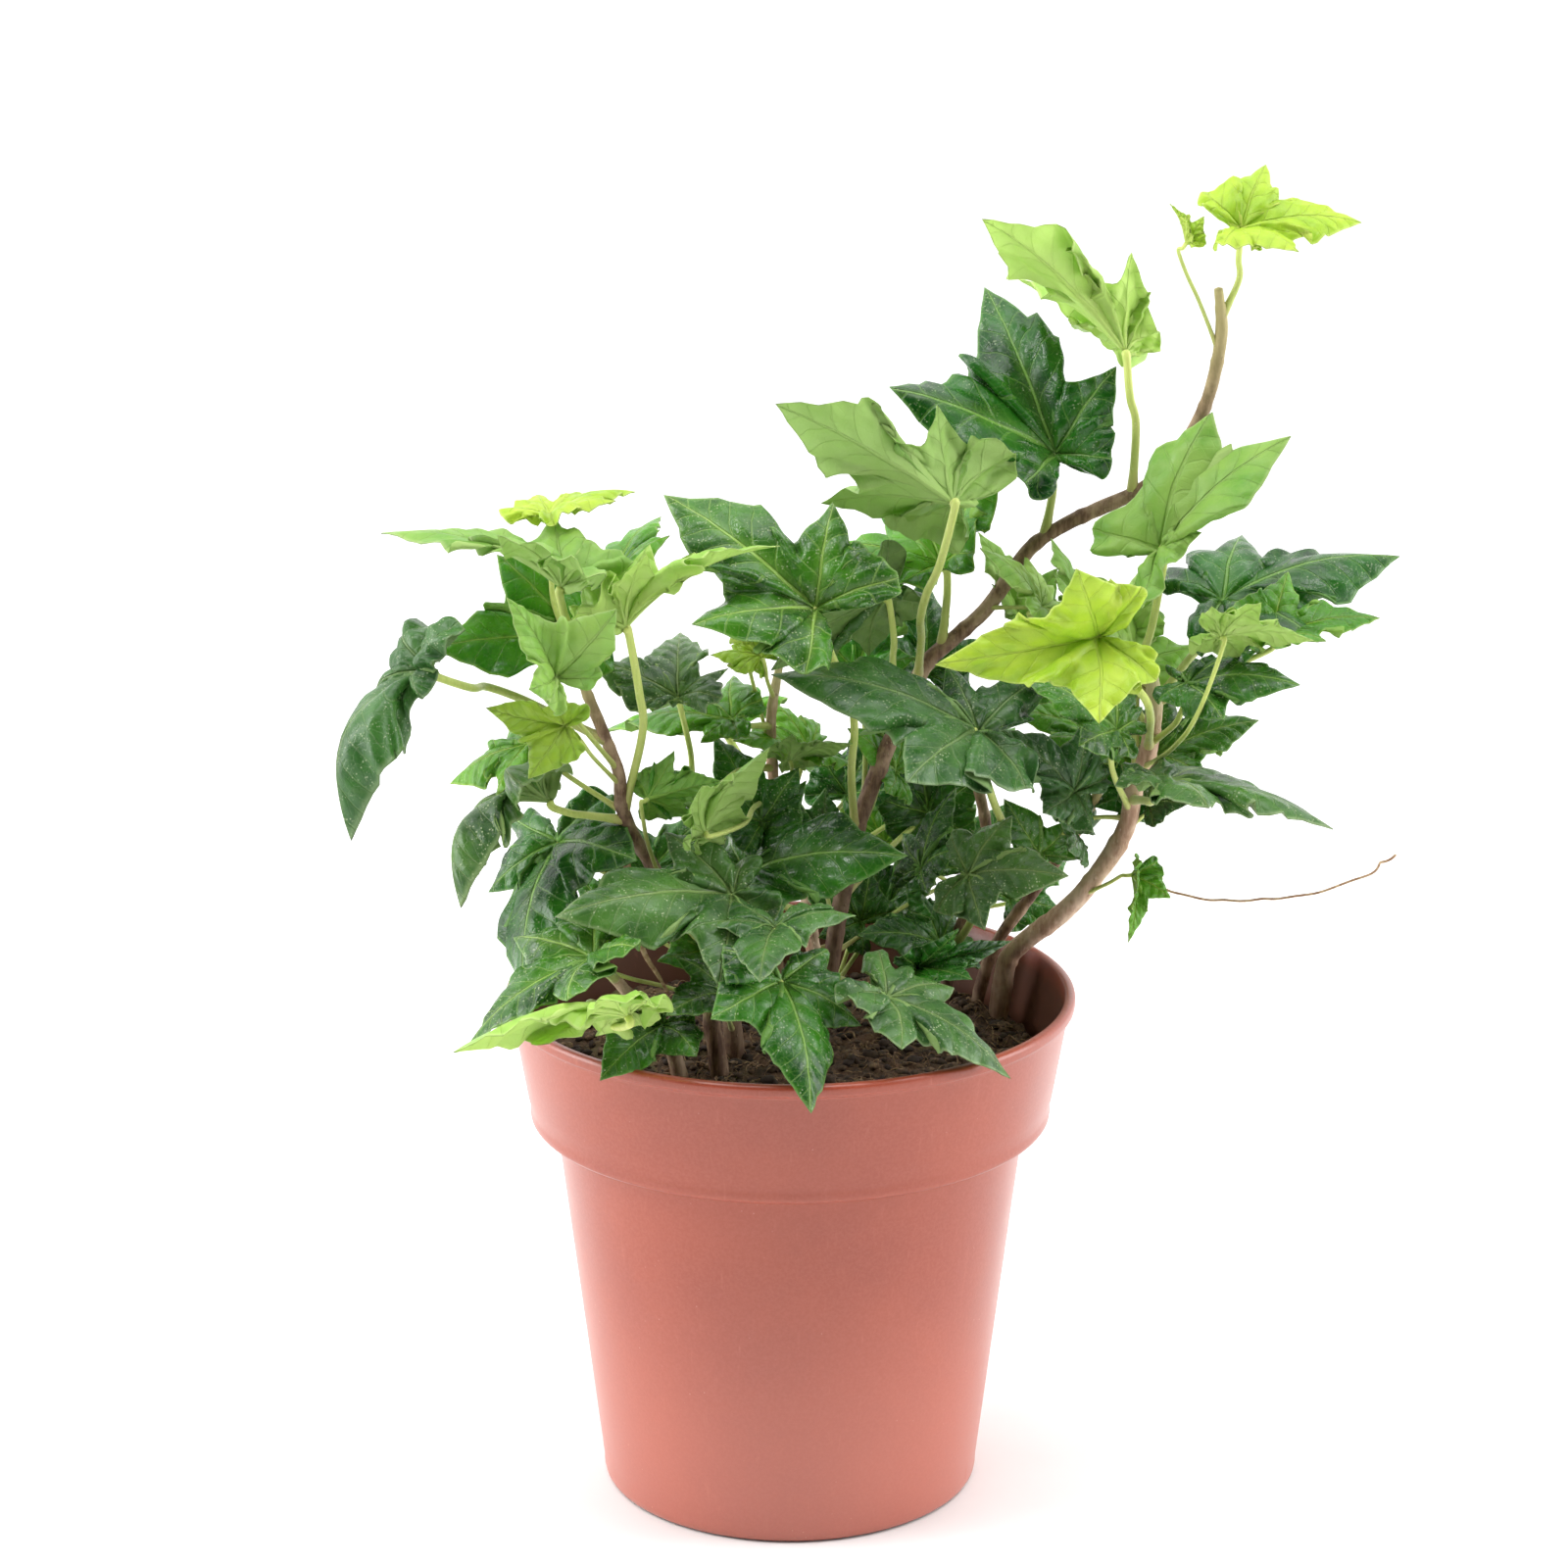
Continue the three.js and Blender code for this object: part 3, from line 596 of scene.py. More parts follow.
SPAN = 8
TIPS = [0, 4, 14]
BAYS = [2, 6, 12, 16]
CORNERS = [0, 4, 9, 14]
LOBE_GAIN = 0.17
BAY_GAIN = 1.13
VEINS = [0, 4, 7, 9, 11, 14, 18]
SHARES = np.array([0.05, 0.11, 0.18, 0.26, 0.34, 0.42, 0.5, 0.57, 0.64, 0.7, 0.76, 0.81, 0.86,
                   0.9, 0.935, 0.965, 0.985, 1.0])
BLADE = 0.34 * MM
MARGIN = 0.2 * MM
NOTCH_DEPTH = 0.1
NOTCH_KEPT = 0.35
WAVES = [(11, 0.5), (18, 0.9), (26, 0.7), (37, 0.4)]    # waves round the edge, and their share
STALK_GIRTH = 0.78
JOIN_REACH = 6 * MM
stem_nodes = sorted(n for n in frame["nodes"] if n.startswith("stem_"))
STEM_LINES = [open_curve(read_stem(node)[0], 9) for node in stem_nodes]


def fuller(edge, joint):
    """The same outline with broader lobes and shallower bays between them."""
    out = edge.copy()
    for tip in TIPS:
        before, after = tip - 1, (tip + 1) % OUTLINE
        apart = (edge[before] - edge[after]) * LOBE_GAIN
        out[before] += apart
        out[after] -= apart
    for bay in BAYS:
        out[bay] = joint + (edge[bay] - joint) * BAY_GAIN
    return out


def half_outline(out, side, lobe, back):
    """One side of the outline, from next to the main tip to next to the notch."""
    length = norm(out)
    forward = out / length
    across = unit(forward - lobe * forward.dot(lobe) / lobe.dot(lobe))
    reach = norm(lobe)
    return [
        out * 0.56 + side * 0.2 * length,
        (out + lobe) * 0.35,
        lobe * 0.6 + across * 0.2 * reach,
        lobe,
        lobe * 0.56 - across * 0.24 * reach,
        (lobe + back) * 0.41,
        back,
        back * 0.6 - forward * 0.13 * length,
    ]


def whole_outline(out, sides, lobe_size, notch):
    """The 18 places of the outline from the joint, main tip first, then the left side."""
    length = norm(out)
    forward = out / length
    halves = []
    for side in sides:
        lobe = lobe_size * length * (forward * cos(LATERAL) + side * sin(LATERAL))
        back = BACK_LOBE * length * (forward * cos(BASAL) + side * sin(BASAL))
        halves.append(half_outline(out, side, lobe, back))
    return np.array([out, *halves[0], notch * out, *halves[1][::-1]])


MAP_SIDES = np.array([[0.0, 1.0], [0.0, -1.0]])
MAP_OUTLINE = whole_outline(np.array([1.0, 0.0]), MAP_SIDES, SIDE_LOBE, -NOTCH_DEPTH * NOTCH_KEPT)
FLAT = closed_curve(fuller(MAP_OUTLINE, np.zeros(2)), CORNERS, SPAN)
COLUMNS = len(FLAT)
PLACE = np.arange(COLUMNS) / SPAN


def between_veins():
    """0 on a main vein and 1 half-way to the next, for each column."""
    out = np.zeros(COLUMNS)
    for a, b in zip(VEINS, VEINS[1:]):
        inside = (PLACE >= a) & (PLACE < b)
        out[inside] = np.sin(pi * (PLACE[inside] - a) / (b - a))
    return out


BETWEEN = between_veins()
TIP_GAP = np.min([np.minimum(abs(PLACE - t), OUTLINE - abs(PLACE - t)) for t in TIPS], axis=0)
CALM = np.clip(TIP_GAP / 1.2, 0.0, 1.0)


def smooth_step(x, low, high):
    t = np.clip((x - low) / (high - low), 0, 1)
    return t * t * (3 - 2 * t)


def blade_grid(form, rng, ruffle):
    """Points of the blade's upper side, one row per share, and their normals."""
    joint = form["joint"]
    edge = fuller(form["edge"], joint)
    ring = fuller(form["ring"], joint)
    edge[NOTCH] = joint + (edge[NOTCH] - joint) * NOTCH_KEPT
    ring[NOTCH] = joint + (ring[NOTCH] - joint) * NOTCH_KEPT
    length = norm(edge[0] - joint)
    outer = closed_curve(edge, CORNERS, SPAN)
    middle = closed_curve(ring, [], SPAN)
    arc = np.cumsum(norm(np.diff(outer, axis=0, append=outer[:1]), axis=1))
    waves = np.zeros(COLUMNS)
    teeth = np.zeros(COLUMNS)
    laps = arc / arc[-1] * 2 * pi
    for turns, size in WAVES:
        waves += size * np.sin(laps * (turns + rng.randint(-1, 1)) + rng.uniform(0, 6.28))
        teeth += size * np.sin(laps * (turns + 4) + rng.uniform(0, 6.28))
    s = SHARES[:, None, None]
    points = (
        joint * (1 - s) * (1 - 2 * s) + middle * 4 * s * (1 - s) + outer * s * (2 * s - 1)
    )
    rows = SHARES[:, None]
    outward = smooth_step(rows, 0.45, 1.0)
    points = joint + (points - joint) * (1 + 0.026 * ruffle * teeth * CALM * outward)[..., None]

    def normals_of(grid):
        inner = np.concatenate([np.broadcast_to(joint, (1, COLUMNS, 3)), grid[:-1]])
        radial = grid - inner
        around = np.roll(grid, -1, axis=1) - np.roll(grid, 1, axis=1)
        return unit(np.cross(radial, around))

    facing = unit(normals_of(points).mean(axis=(0, 1)))
    normals = unit(normals_of(points) * 0.55 + facing * 0.45)
    bulge = 0.04 * BETWEEN * (4 * rows * (1 - rows)) ** 0.8
    quilt = 0.0075 * BETWEEN * np.sin(rows * 21 + PLACE * 0.9) * smooth_step(rows, 0.1, 0.4)
    crinkle = ruffle * 0.03 * waves * CALM * smooth_step(rows, 0.45, 1.0)
    points = points + normals * ((bulge + quilt + crinkle) * length)[..., None]
    return points, normals_of(points)


def add_blade(shape, form, rng, tone, ruffle=1.0):
    top, normals = blade_grid(form, rng, ruffle)
    rows = len(SHARES)
    thick = (BLADE + (MARGIN - BLADE) * SHARES**2)[:, None, None]
    low = top - normals * thick
    joint = form["joint"]
    facing = unit(normals[0].mean(axis=0))
    upper = np.concatenate([[joint], top.reshape(-1, 3)])
    lower = np.concatenate([[joint - facing * BLADE], low.reshape(-1, 3)])
    count = len(upper)
    flat = np.concatenate([np.zeros((1, 2)), (SHARES[:, None, None] * FLAT).reshape(-1, 2)])
    flat = 0.5 + MAP_SCALE * flat
    share = np.concatenate([[0], np.repeat(SHARES, COLUMNS)])
    faces = []
    for j in range(COLUMNS):
        k = (j + 1) % COLUMNS
        faces += [(0, 1 + j, 1 + k), (count, count + 1 + k, count + 1 + j)]
        for i in range(rows - 1):
            a, b = 1 + i * COLUMNS + j, 1 + i * COLUMNS + k
            c, d = b + COLUMNS, a + COLUMNS
            faces += [(a, d, c, b), (count + a, count + b, count + c, count + d)]
        a, b = 1 + (rows - 1) * COLUMNS + j, 1 + (rows - 1) * COLUMNS + k
        faces.append((a, count + a, count + b, b))
    shape.add(
        np.concatenate([upper, lower]),
        faces,
        uv=np.concatenate([flat, flat]),
        share=np.concatenate([share, share]),
        under=np.repeat([0.0, 1.0], count),
        tone=tone,
    )
    return facing


def at_height(line, height):
    return np.array([np.interp(height, line[:, 2], line[:, axis]) for axis in range(3)])


def stem_below(foot, drop):
    """The place on the nearest stem's axis, a little lower than the stalk's foot."""
    gaps = [(norm(line - foot, axis=1).min(), k) for k, line in enumerate(STEM_LINES)]
    gap, nearest = min(gaps)
    line = STEM_LINES[nearest]
    if gap > JOIN_REACH:
        return foot
    level = max(line[norm(line - foot, axis=1).argmin()][2] - drop, line[0][2])
    return at_height(line, level)


def add_stalk(shape, form, facing, tone):
    """The stalk, leaving its stem at a sharp upward angle and running up into the blade."""
    line, radii = form["stalk"], form["radii"]
    head = form["joint"] - facing * BLADE * 0.4
    foot = stem_below(line[0], min(4 * MM, 0.16 * norm(line[0] - head)))
    line = np.array([foot, *line[2:-2], form["joint"] - facing * 1.6 * MM, head])
    radii = np.interp(np.linspace(0, 1, len(line)), [0, 1], [radii[2], radii[2] * 0.92])
    path, radius = open_curve(line, 7, radii)
    reach = distance_along(path)
    clasp = 1 + 0.45 * np.exp(-((reach / (3.4 * MM)) ** 2))
    neck = 1 + 0.15 * np.exp(-(((reach[-1] - reach) / (1.6 * MM)) ** 2))
    points, faces, along = tube(path, radius * clasp * neck * STALK_GIRTH, 10)
    shape.add(points, faces, material=1, along=along, tone=tone)


def make_leaf(name, form, slot, rng, nodes=(), ruffle=1.0):
    shape = Shape()
    tone = rng.uniform(-1, 1)
    facing = add_blade(shape, form, rng, tone, ruffle)
    add_stalk(shape, form, facing, tone)
    shape.build(name, [LEAF_MATERIALS[slot], STALK], nodes)


leaf_nodes = sorted(n for n in frame["nodes"] if n.startswith("leaf_"))
for number, node in enumerate(leaf_nodes):
    make_leaf("ivy_" + node, read_leaf(node), SLOT_OF[node], random.Random(100 + number), [node])

# ---- small leaves between the CAD ones

# By place: slot and stem without their first word, height on the stem where the stalk starts (mm), the
# blade's joint, tip (mm) and facing, and the fold (degrees) where it isn't 20. The first places were
# converted from points picked on the photo and then changed.
SMALL_LEAVES = {
    "middle": [
        ("grown", "main_vine", 150, (14, 24, 171), (24, 32, 191), (-4, -8, 3)),
        ("old", "main_vine", 158, (29, 32, 169), (28, 42, 188), (3, -8, 4)),
        ("grown", "middle_shoot", 140, (4, 16, 156), (-12, 4, 162), (0, -4, 8)),
        ("old", "middle_shoot", 132, (12, 32, 142), (22, 38, 158), (-2, -8, 4)),
        ("old", "main_vine", 130, (30, 34, 137), (26, 38, 160), (0, -9, 2)),
        ("old", "left_vine", 128, (-6, -2, 146), (-16, 8, 162), (2, -7, 6)),
        ("young", "middle_shoot", 140, (0, 6, 157), (13, 2, 162), (0, 7, 8), 10),
        ("fresh", "middle_shoot", 160, (-7, 6, 180), (-12, 2, 190), (2, -6, 5), 35),
        ("old", "main_vine", 108, (21, 26, 119), (34, 26, 134), (-2, -8, 4)),
        ("old", "main_vine", 104, (15, 20, 117), (1, 22, 128), (2, -8, 5)),
        ("old", "back_shoot", 106, (32, 20, 112), (14, 8, 118), (0, -6, 8)),
        ("old", "main_vine", 118, (38, 32, 125), (48, 40, 138), (0, -8, 5)),
        ("grown", "main_vine", 140, (22, 18, 151), (12, 10, 163), (0, -6, 7)),
        ("dusty", "main_vine", 122, (6, 26, 133), (-8, 22, 144), (2, -8, 5)),
    ],
    "left": [
        ("old", "left_vine", 122, (-30, 2, 133), (-16, 12, 144), (-3, -7, 5)),
        ("grown", "left_vine", 140, (-29, -22, 157), (-14, -29, 163), (4, 9, 0), 45),
        ("young", "left_vine", 112, (-38, -36, 127), (-23, -31, 136), (-3, -5, 8), 45),
        ("old", "left_vine", 106, (-13, -30, 118), (-25, -46, 119), (0, -5, 8)),
        ("grown", "left_vine", 108, (-17, -6, 119), (-32, 2, 127), (3, -7, 5)),
        ("old", "left_vine", 118, (-38, 6, 124), (-54, 4, 120), (-2, -6, 7)),
    ],
    "right": [
        ("grown", "right_vine", 165, (66, 30, 155), (46, 24, 163), (0, -5, 8)),
        ("young", "right_vine", 175, (48, 26, 182), (40, 36, 199), (4, -6, 4), 45),
        ("old", "back_shoot", 118, (53, 18, 133), (45, 12, 147), (-2, -7, 5)),
        ("dusty", "right_vine", 145, (60, 14, 139), (52, 6, 153), (0, -6, 8)),
        ("old", "right_vine", 150, (74, 22, 145), (60, 28, 153), (0, -7, 6)),
        ("grown", "right_vine", 160, (56, 24, 169), (38, 22, 176), (0, -6, 8)),
        ("young", "right_vine", 176, (52, 10, 189), (39, 5, 203), (8, -2, 6), 8),
        ("young", "right_vine", 170, (71, 24, 180), (58, 30, 193), (0, -7, 5), 40),
        ("old", "right_vine", 158, (78, 24, 153), (100, 27, 160), (0, -6, 8)),
        ("grown", "right_vine", 172, (100, 8, 183), (123, 13, 186), (0, -4, 9), 30),
        ("dusty", "right_vine", 140, (76, 16, 145), (86, 20, 155), (0, -6, 8)),
    ],
    "hanging": [
        ("grown", "right_vine", 126, (72, 6, 132), (71, 0, 119), (6, -7, 0), 50),
    ],
    "rear": [
        ("old", "rear_shoot", 125, (40, 50, 143), (34, 66, 155), (2, -5, 7)),
        ("grown", "rear_shoot", 130, (21, 48, 126), (12, 60, 140), (-2, -6, 6)),
        ("old", "rear_shoot", 110, (48, 42, 115), (62, 50, 125), (2, -6, 6)),
        ("dusty", "rear_shoot", 120, (-14, 44, 132), (-30, 52, 142), (0, -5, 8)),
    ],
    "vine_bud": [
        ("fresh", "main_vine", 246, (80, 6, 266), (77, 12, 273), (5, -6, 6), 65),
    ],
}
SMALL_SIDE_LOBE = 0.66
STALK_SHARE = 0.034
STALK_RANGE = (0.55 * MM, 1.1 * MM)


def small_form(stem, height, joint, tip, face, fold=20):
    """The same form as read_leaf gives, for a leaf that is told by a few places."""
    joint, tip = np.array(joint) * MM, np.array(tip) * MM
    out = tip - joint
    length = norm(out)
    forward = out / length
    up = np.array(face, float)
    up = unit(up - forward * up.dot(forward))
    left = np.cross(up, forward)
    lift = radians(fold)
    sides = [left * sign * cos(lift) + up * sin(lift) for sign in (1, -1)]
    outline = whole_outline(out, sides, SMALL_SIDE_LOBE, -NOTCH_DEPTH)
    arch = 0.1 * norm(outline, axis=1)[:, None] * up
    line = STEM_LINES[stem_nodes.index("stem_" + stem)]
    foot = at_height(line, height * MM)
    sag = (joint - foot) * (1, 1, 0) * 0.12
    neck = joint - up * 3 * MM
    path = open_curve(np.array([foot, foot * 0.6 + neck * 0.4 + sag, neck, joint]), 2)
    girth = min(max(STALK_SHARE * length, STALK_RANGE[0]), STALK_RANGE[1])
    return {
        "joint": joint,
        "ring": joint + outline * 0.5 + arch,
        "edge": joint + outline,
        "stalk": path,
        "radii": np.full(len(path), girth),
    }


seed = 200
for place, leaves in SMALL_LEAVES.items():
    for number, (slot, *row) in enumerate(leaves, 1):
        name = f"small_leaf_{place}_{number:02d}" if len(leaves) > 1 else "small_leaf_" + place
        make_leaf(name, small_form(*row), "leaf_" + slot, random.Random(seed))
        seed += 1

# ---- stems and roots


def make_stem(name, node, material, rng):
    centres, radii = read_stem(node)
    path, radius = open_curve(centres, 9, radii)
    reach = distance_along(path)
    grown = np.ones(len(path))
    spot = rng.uniform(4, 9) * MM
    while spot < reach[-1]:
        grown += 0.1 * np.exp(-(((reach - spot) / (0.8 * MM)) ** 2))
        grown -= 0.04 * np.exp(-(((reach - spot - 1.8 * MM) / (0.7 * MM)) ** 2))
        spot += rng.uniform(9, 16) * MM
    shift = rng.uniform(0, 50)

    def rough(i, angle):
        at = Vector((cos(angle) * 1.3, sin(angle) * 1.3, reach[i] / (4 * MM) + shift))
        ribs = noise.noise(Vector((at.x * 2.2, at.y * 2.2, at.z * 0.35)))
        return 1 + 0.06 * ribs + 0.04 * noise.noise(at * 3.0)

    tube_piece(name, path, radius * grown * 0.9, 18, material, [node], rough)


for number, node in enumerate(stem_nodes):
    cover = BARK if SLOT_OF[node] == "bark" else SHOOT
    make_stem("ivy_" + node, node, cover, random.Random(300 + number))


ROOT_RADIUS = 0.27 * MM
CURL_LENGTH = 7 * MM
CURL_SIZE = 0.9 * MM


def make_root(name, node):
    path = open_curve(read_stem(node)[0], 12)
    for i, point in enumerate(path):
        drift = noise.noise_vector(Vector(point) * 160) * 0.7 * MM
        path[i] = point + np.array(drift)
    reach = distance_along(path)
    curl = np.clip((reach - reach[-1] + CURL_LENGTH) / CURL_LENGTH, 0, 1)[:, None]
    turn = curl * 2.4 * pi
    path = path + CURL_SIZE * curl * np.hstack([np.sin(turn), 0 * turn, 1 - np.cos(turn)])
    tube_piece(name, path, np.full(len(path), ROOT_RADIUS), 8, ROOT, [node])


make_root("ivy_root_right_trailing", "root_right_trailing")

# A thin root hanging down from the left vine (mm), converted from points picked on the photo.
HANGING_ROOT = [(-34, -19, 147), (-32, -24, 134), (-30, -26, 126), (-27, -27, 121), (-25, -26, 117)]


def make_hanging_root():
    path = open_curve(np.array(HANGING_ROOT) * MM, 8)
    tube_piece("hanging_root", path, np.linspace(0.9, 0.3, len(path)) * MM, 8, ROOT)


make_hanging_root()

# ---- pot

(pot_low, pot_high) = (np.array(v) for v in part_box("pot"))
RIM = (pot_high[0] - pot_low[0]) / 2
HEIGHT = pot_high[2]
WALL = 1.3 * MM
TURNS = 192
DRAINS, DRAIN_RADIUS, DRAIN_PLACE = 6, 3.5 * MM, 27 * MM
# Heights between which the pot is painted paler towards the foot: painted bounce light from the floor.
PAINTED_LIGHT_TOP, PAINTED_LIGHT_FOOT = 70 * MM, 4 * MM


def pot_material():
    s = Shader("pot_plastic")
    place = s.place()
    cloud = s.noise(place, 26.0, 4.0, 0.6)
    grain = s.noise(place, 1500.0, 3.0, 0.6)
    skin = s.mix(s.ramp(cloud, 0.3, 0.7), colour(148, 61, 38), colour(158, 69, 44))
    skin = s.mix(s.ramp(grain, 0.3, 0.75, 0.0, 0.12), skin, colour(206, 122, 104))
    # Paler towards the foot: painted bounce light from the floor.
    level = s.node("SeparateXYZ", {0: place}).outputs[2]
    foot = s.ramp(level, PAINTED_LIGHT_TOP, PAINTED_LIGHT_FOOT, 0.0, 0.45)
    skin = s.mix(foot, skin, colour(206, 128, 112))
    # The inner wall is painted darker brown: painted shade inside the pot, partly dirt.
    inside = s.attribute("inside")
    skin = s.mix(inside, skin, colour(104, 64, 48))
    # Dust specks and fine rubbed lines.
    dots = s.ramp(s.cells(place, 420.0), 0.0, 0.09, 1.0, 0.0)
    some = s.ramp(s.noise(place, 90.0), 0.5, 0.62)
    dots = s.times(dots, some)
    rubbed = s.ramp(s.noise(s.place((1, 1, 0.05)), 520.0, 4.0, 0.7), 0.6, 0.78)
    skin = s.mix(s.times(dots, 0.5), skin, colour(226, 176, 158))
    skin = s.mix(s.times(rubbed, 0.18), skin, colour(212, 136, 116))
    height = s.plus(s.times(grain, 0.6), s.times(dots, 1.5))
    normal = s.bump(height, 0.25, 0.08 * MM)
    rough = s.ramp(cloud, 0.3, 0.7, 0.34, 0.42)
    rough = s.plus(rough, s.times(rubbed, 0.15))
    return s.finish(s.surface(skin, rough, normal, IOR=1.5, Coat_Weight=0.35, Coat_Roughness=0.22))


def mm_pairs(*pairs):
    return [(a * MM, b * MM) for a, b in pairs]


def make_pot():
    r, h = RIM, HEIGHT
    body_top, base, collar, step = 49.5 * MM, 40 * MM, 54.8 * MM, 82 * MM
    slope = (r - 1.3 * MM - collar) / (h - 3.2 * MM - step - MM)
    outer = mm_pairs(
        (0, 1.0), (30, 1.0), (34, 0.9), (36.2, 0.5), (37.4, 0.08), (38.4, 0.0), (39.0, 0.15),
        (39.6, 0.6), (39.95, 1.2), (40.15, 2.2),
    )
    rise = 40
    for i in range(1, rise + 1):
        t = i / rise
        outer.append((base + (body_top - base) * t, 2.2 * MM + (step - 4.4 * MM) * t))
    outer += mm_pairs((49.6, 80.6), (49.9, 81.2), (50.6, 81.55), (52.4, 81.7), (53.7, 81.75),
                      (54.5, 81.95), (54.95, 82.5), (55.05, 83.2), (54.95, 84.0), (54.9, 84.9))
    for i in range(1, 13):
        z = 85.5 * MM + (h - 3.6 * MM - 85.5 * MM) * i / 12
        outer.append((collar + slope * (z - step - MM), z))
    lip = [(-1.25, -3.0), (-0.95, -2.75), (-0.4, -2.55), (-0.08, -2.3), (0, -1.9), (0, -0.9),
           (-0.12, -0.45), (-0.4, -0.12), (-0.8, 0), (-1.5, 0), (-1.95, -0.14), (-2.2, -0.5)]
    outer += [(r + a * MM, h + b * MM) for a, b in lip]
    inner = []
    for i in range(1, 12):
        z = h - 2 * MM - (h - 86 * MM) * i / 12
        inner.append((collar + slope * (z - step - MM) - WALL, z))
    inner += mm_pairs((53.4, 84.2), (52.6, 83.5), (49.0, 83.2), (48.3, 82.6))
    for i in range(0, 12):
        t = i / 11
        inner.append((body_top - 1.4 * MM - 9.2 * MM * t, 81 * MM - 78 * MM * t))
    inner += mm_pairs((37.6, 2.7), (36, 2.5), (30, 2.4), (0, 2.4))
    profile = outer + inner
    bm = bmesh.new()
    rings = []
    for radius, z in profile:
        if radius == 0:
            rings.append([bm.verts.new((0, 0, z))] * TURNS)
            continue
        ring = []
        for j in range(TURNS):
            ring.append(bm.verts.new(on_ring(radius, 2 * pi * j / TURNS, z)))
        rings.append(ring)
    for low, high in zip(rings, rings[1:]):
        for j in range(TURNS):
            k = (j + 1) % TURNS
            corners = [low[j], low[k], high[k], high[j]]
            bm.faces.new(list(dict.fromkeys(corners)))
    bmesh.ops.recalc_face_normals(bm, faces=bm.faces)
    mesh = bpy.data.meshes.new("pot_shell")
    bm.to_mesh(mesh)
    bm.free()
    obj = placed("pot_shell", mesh)
    cutters = bmesh.new()
    round_hole = {"radius1": DRAIN_RADIUS, "radius2": DRAIN_RADIUS, "depth": 12 * MM}
    for i in range(DRAINS):
        turn = (i + 0.5) / DRAINS * 2 * pi
        made = bmesh.ops.create_cone(cutters, cap_ends=True, segments=40, **round_hole)
        spot = Vector(on_ring(DRAIN_PLACE, turn, 0))
        bmesh.ops.translate(cutters, verts=made["verts"], vec=spot)
    tool_mesh = bpy.data.meshes.new("drain_cutters")
    cutters.to_mesh(tool_mesh)
    cutters.free()
    tool = placed("drain_cutters", tool_mesh)
    cut = obj.modifiers.new("drains", "BOOLEAN")
    cut.operation, cut.object, cut.solver = "DIFFERENCE", tool, "EXACT"
    bpy.context.view_layer.update()
    done = bpy.data.meshes.new_from_object(obj.evaluated_get(bpy.context.evaluated_depsgraph_get()))
    obj.modifiers.clear()
    obj.data = done
    bpy.data.objects.remove(tool)
    for polygon in done.polygons:
        polygon.use_smooth = True
    places = np.empty(len(done.vertices) * 3)
    done.vertices.foreach_get("co", places)
    places = places.reshape(-1, 3)
    girth = np.hypot(places[:, 0], places[:, 1])
    # The outer wall's radius at each height: what lies well within it is inside.
    wall = np.interp(places[:, 2], [3 * MM, 80 * MM, 84 * MM, h], [40.2 * MM, body_top, collar, r])
    # Painted shade, partly dirt: the inner wall darkens from just below the rim down into the pot.
    depth = smooth_step(h - places[:, 2], 0.4 * MM, 5 * MM) * (girth < wall - 1.0 * MM)
    layer = done.attributes.new("inside", "FLOAT", "POINT")
    layer.data.foreach_set("value", depth.astype(np.float32))
    done.set_sharp_from_angle(angle=radians(50))
    done.materials.clear()
    done.materials.append(pot_material())
    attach(obj, "root")
    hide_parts("pot")


make_pot()

# ---- soil


def soil_material():
    s = Shader("soil")
    place = s.place()
    clods = s.noise(place, 260.0, 6.0, 0.75, 0.4)
    fine = s.noise(place, 1500.0, 4.0, 0.7)
    skin = s.mix(s.ramp(clods, 0.35, 0.62), colour(38, 26, 18), colour(102, 74, 52))
    skin = s.mix(s.ramp(fine, 0.45, 0.72, 0.0, 0.8), skin, colour(124, 98, 70))
    green = s.ramp(s.noise(place, 45.0, 3.0, 0.6), 0.5, 0.66, 0.0, 0.6)
    skin = s.mix(green, skin, colour(108, 104, 58))
    chips = s.ramp(s.cells(place, 700.0), 0.05, 0.2, 1.0, 0.0)
    rare = s.ramp(s.noise(place, 400.0), 0.56, 0.64)
    skin = s.mix(s.times(s.times(chips, rare), 0.8), skin, colour(176, 148, 112))
    height = s.plus(clods, s.times(fine, 0.5))
    normal = s.bump(height, 1.0, 0.8 * MM)
    return s.finish(s.surface(skin, 0.92, normal))


def crumb_material(name, dark, pale):
    s = Shader(name)
    place = s.place()
    worn = s.noise(place, 900.0, 4.0, 0.7)
    tone = s.attribute("tone")
    skin = s.mix(s.times(s.ramp(worn, 0.3, 0.7), tone), dark, pale)
    normal = s.bump(worn, 0.8, 0.2 * MM)
    return s.finish(s.surface(skin, 0.88, normal))


SOIL_RADIUS = 52.6 * MM
SOIL_LEVEL = 96.6 * MM
LUMPS = [(0.1, 70, 1.5), (0.4, 190, 1.3), (0.7, 460, 0.8), (0.9, 1100, 0.35)]


def soil_height(x, y):
    """The lumpy top of the soil at a place."""
    r = hypot(x, y)
    lumps = 0.0
    for layer, fine, high in LUMPS:
        lumps += noise.noise(Vector((x, y, layer)) * fine) * high * MM
    return SOIL_LEVEL + lumps - 2.2 * MM * max(0.0, (r / SOIL_RADIUS) ** 8)


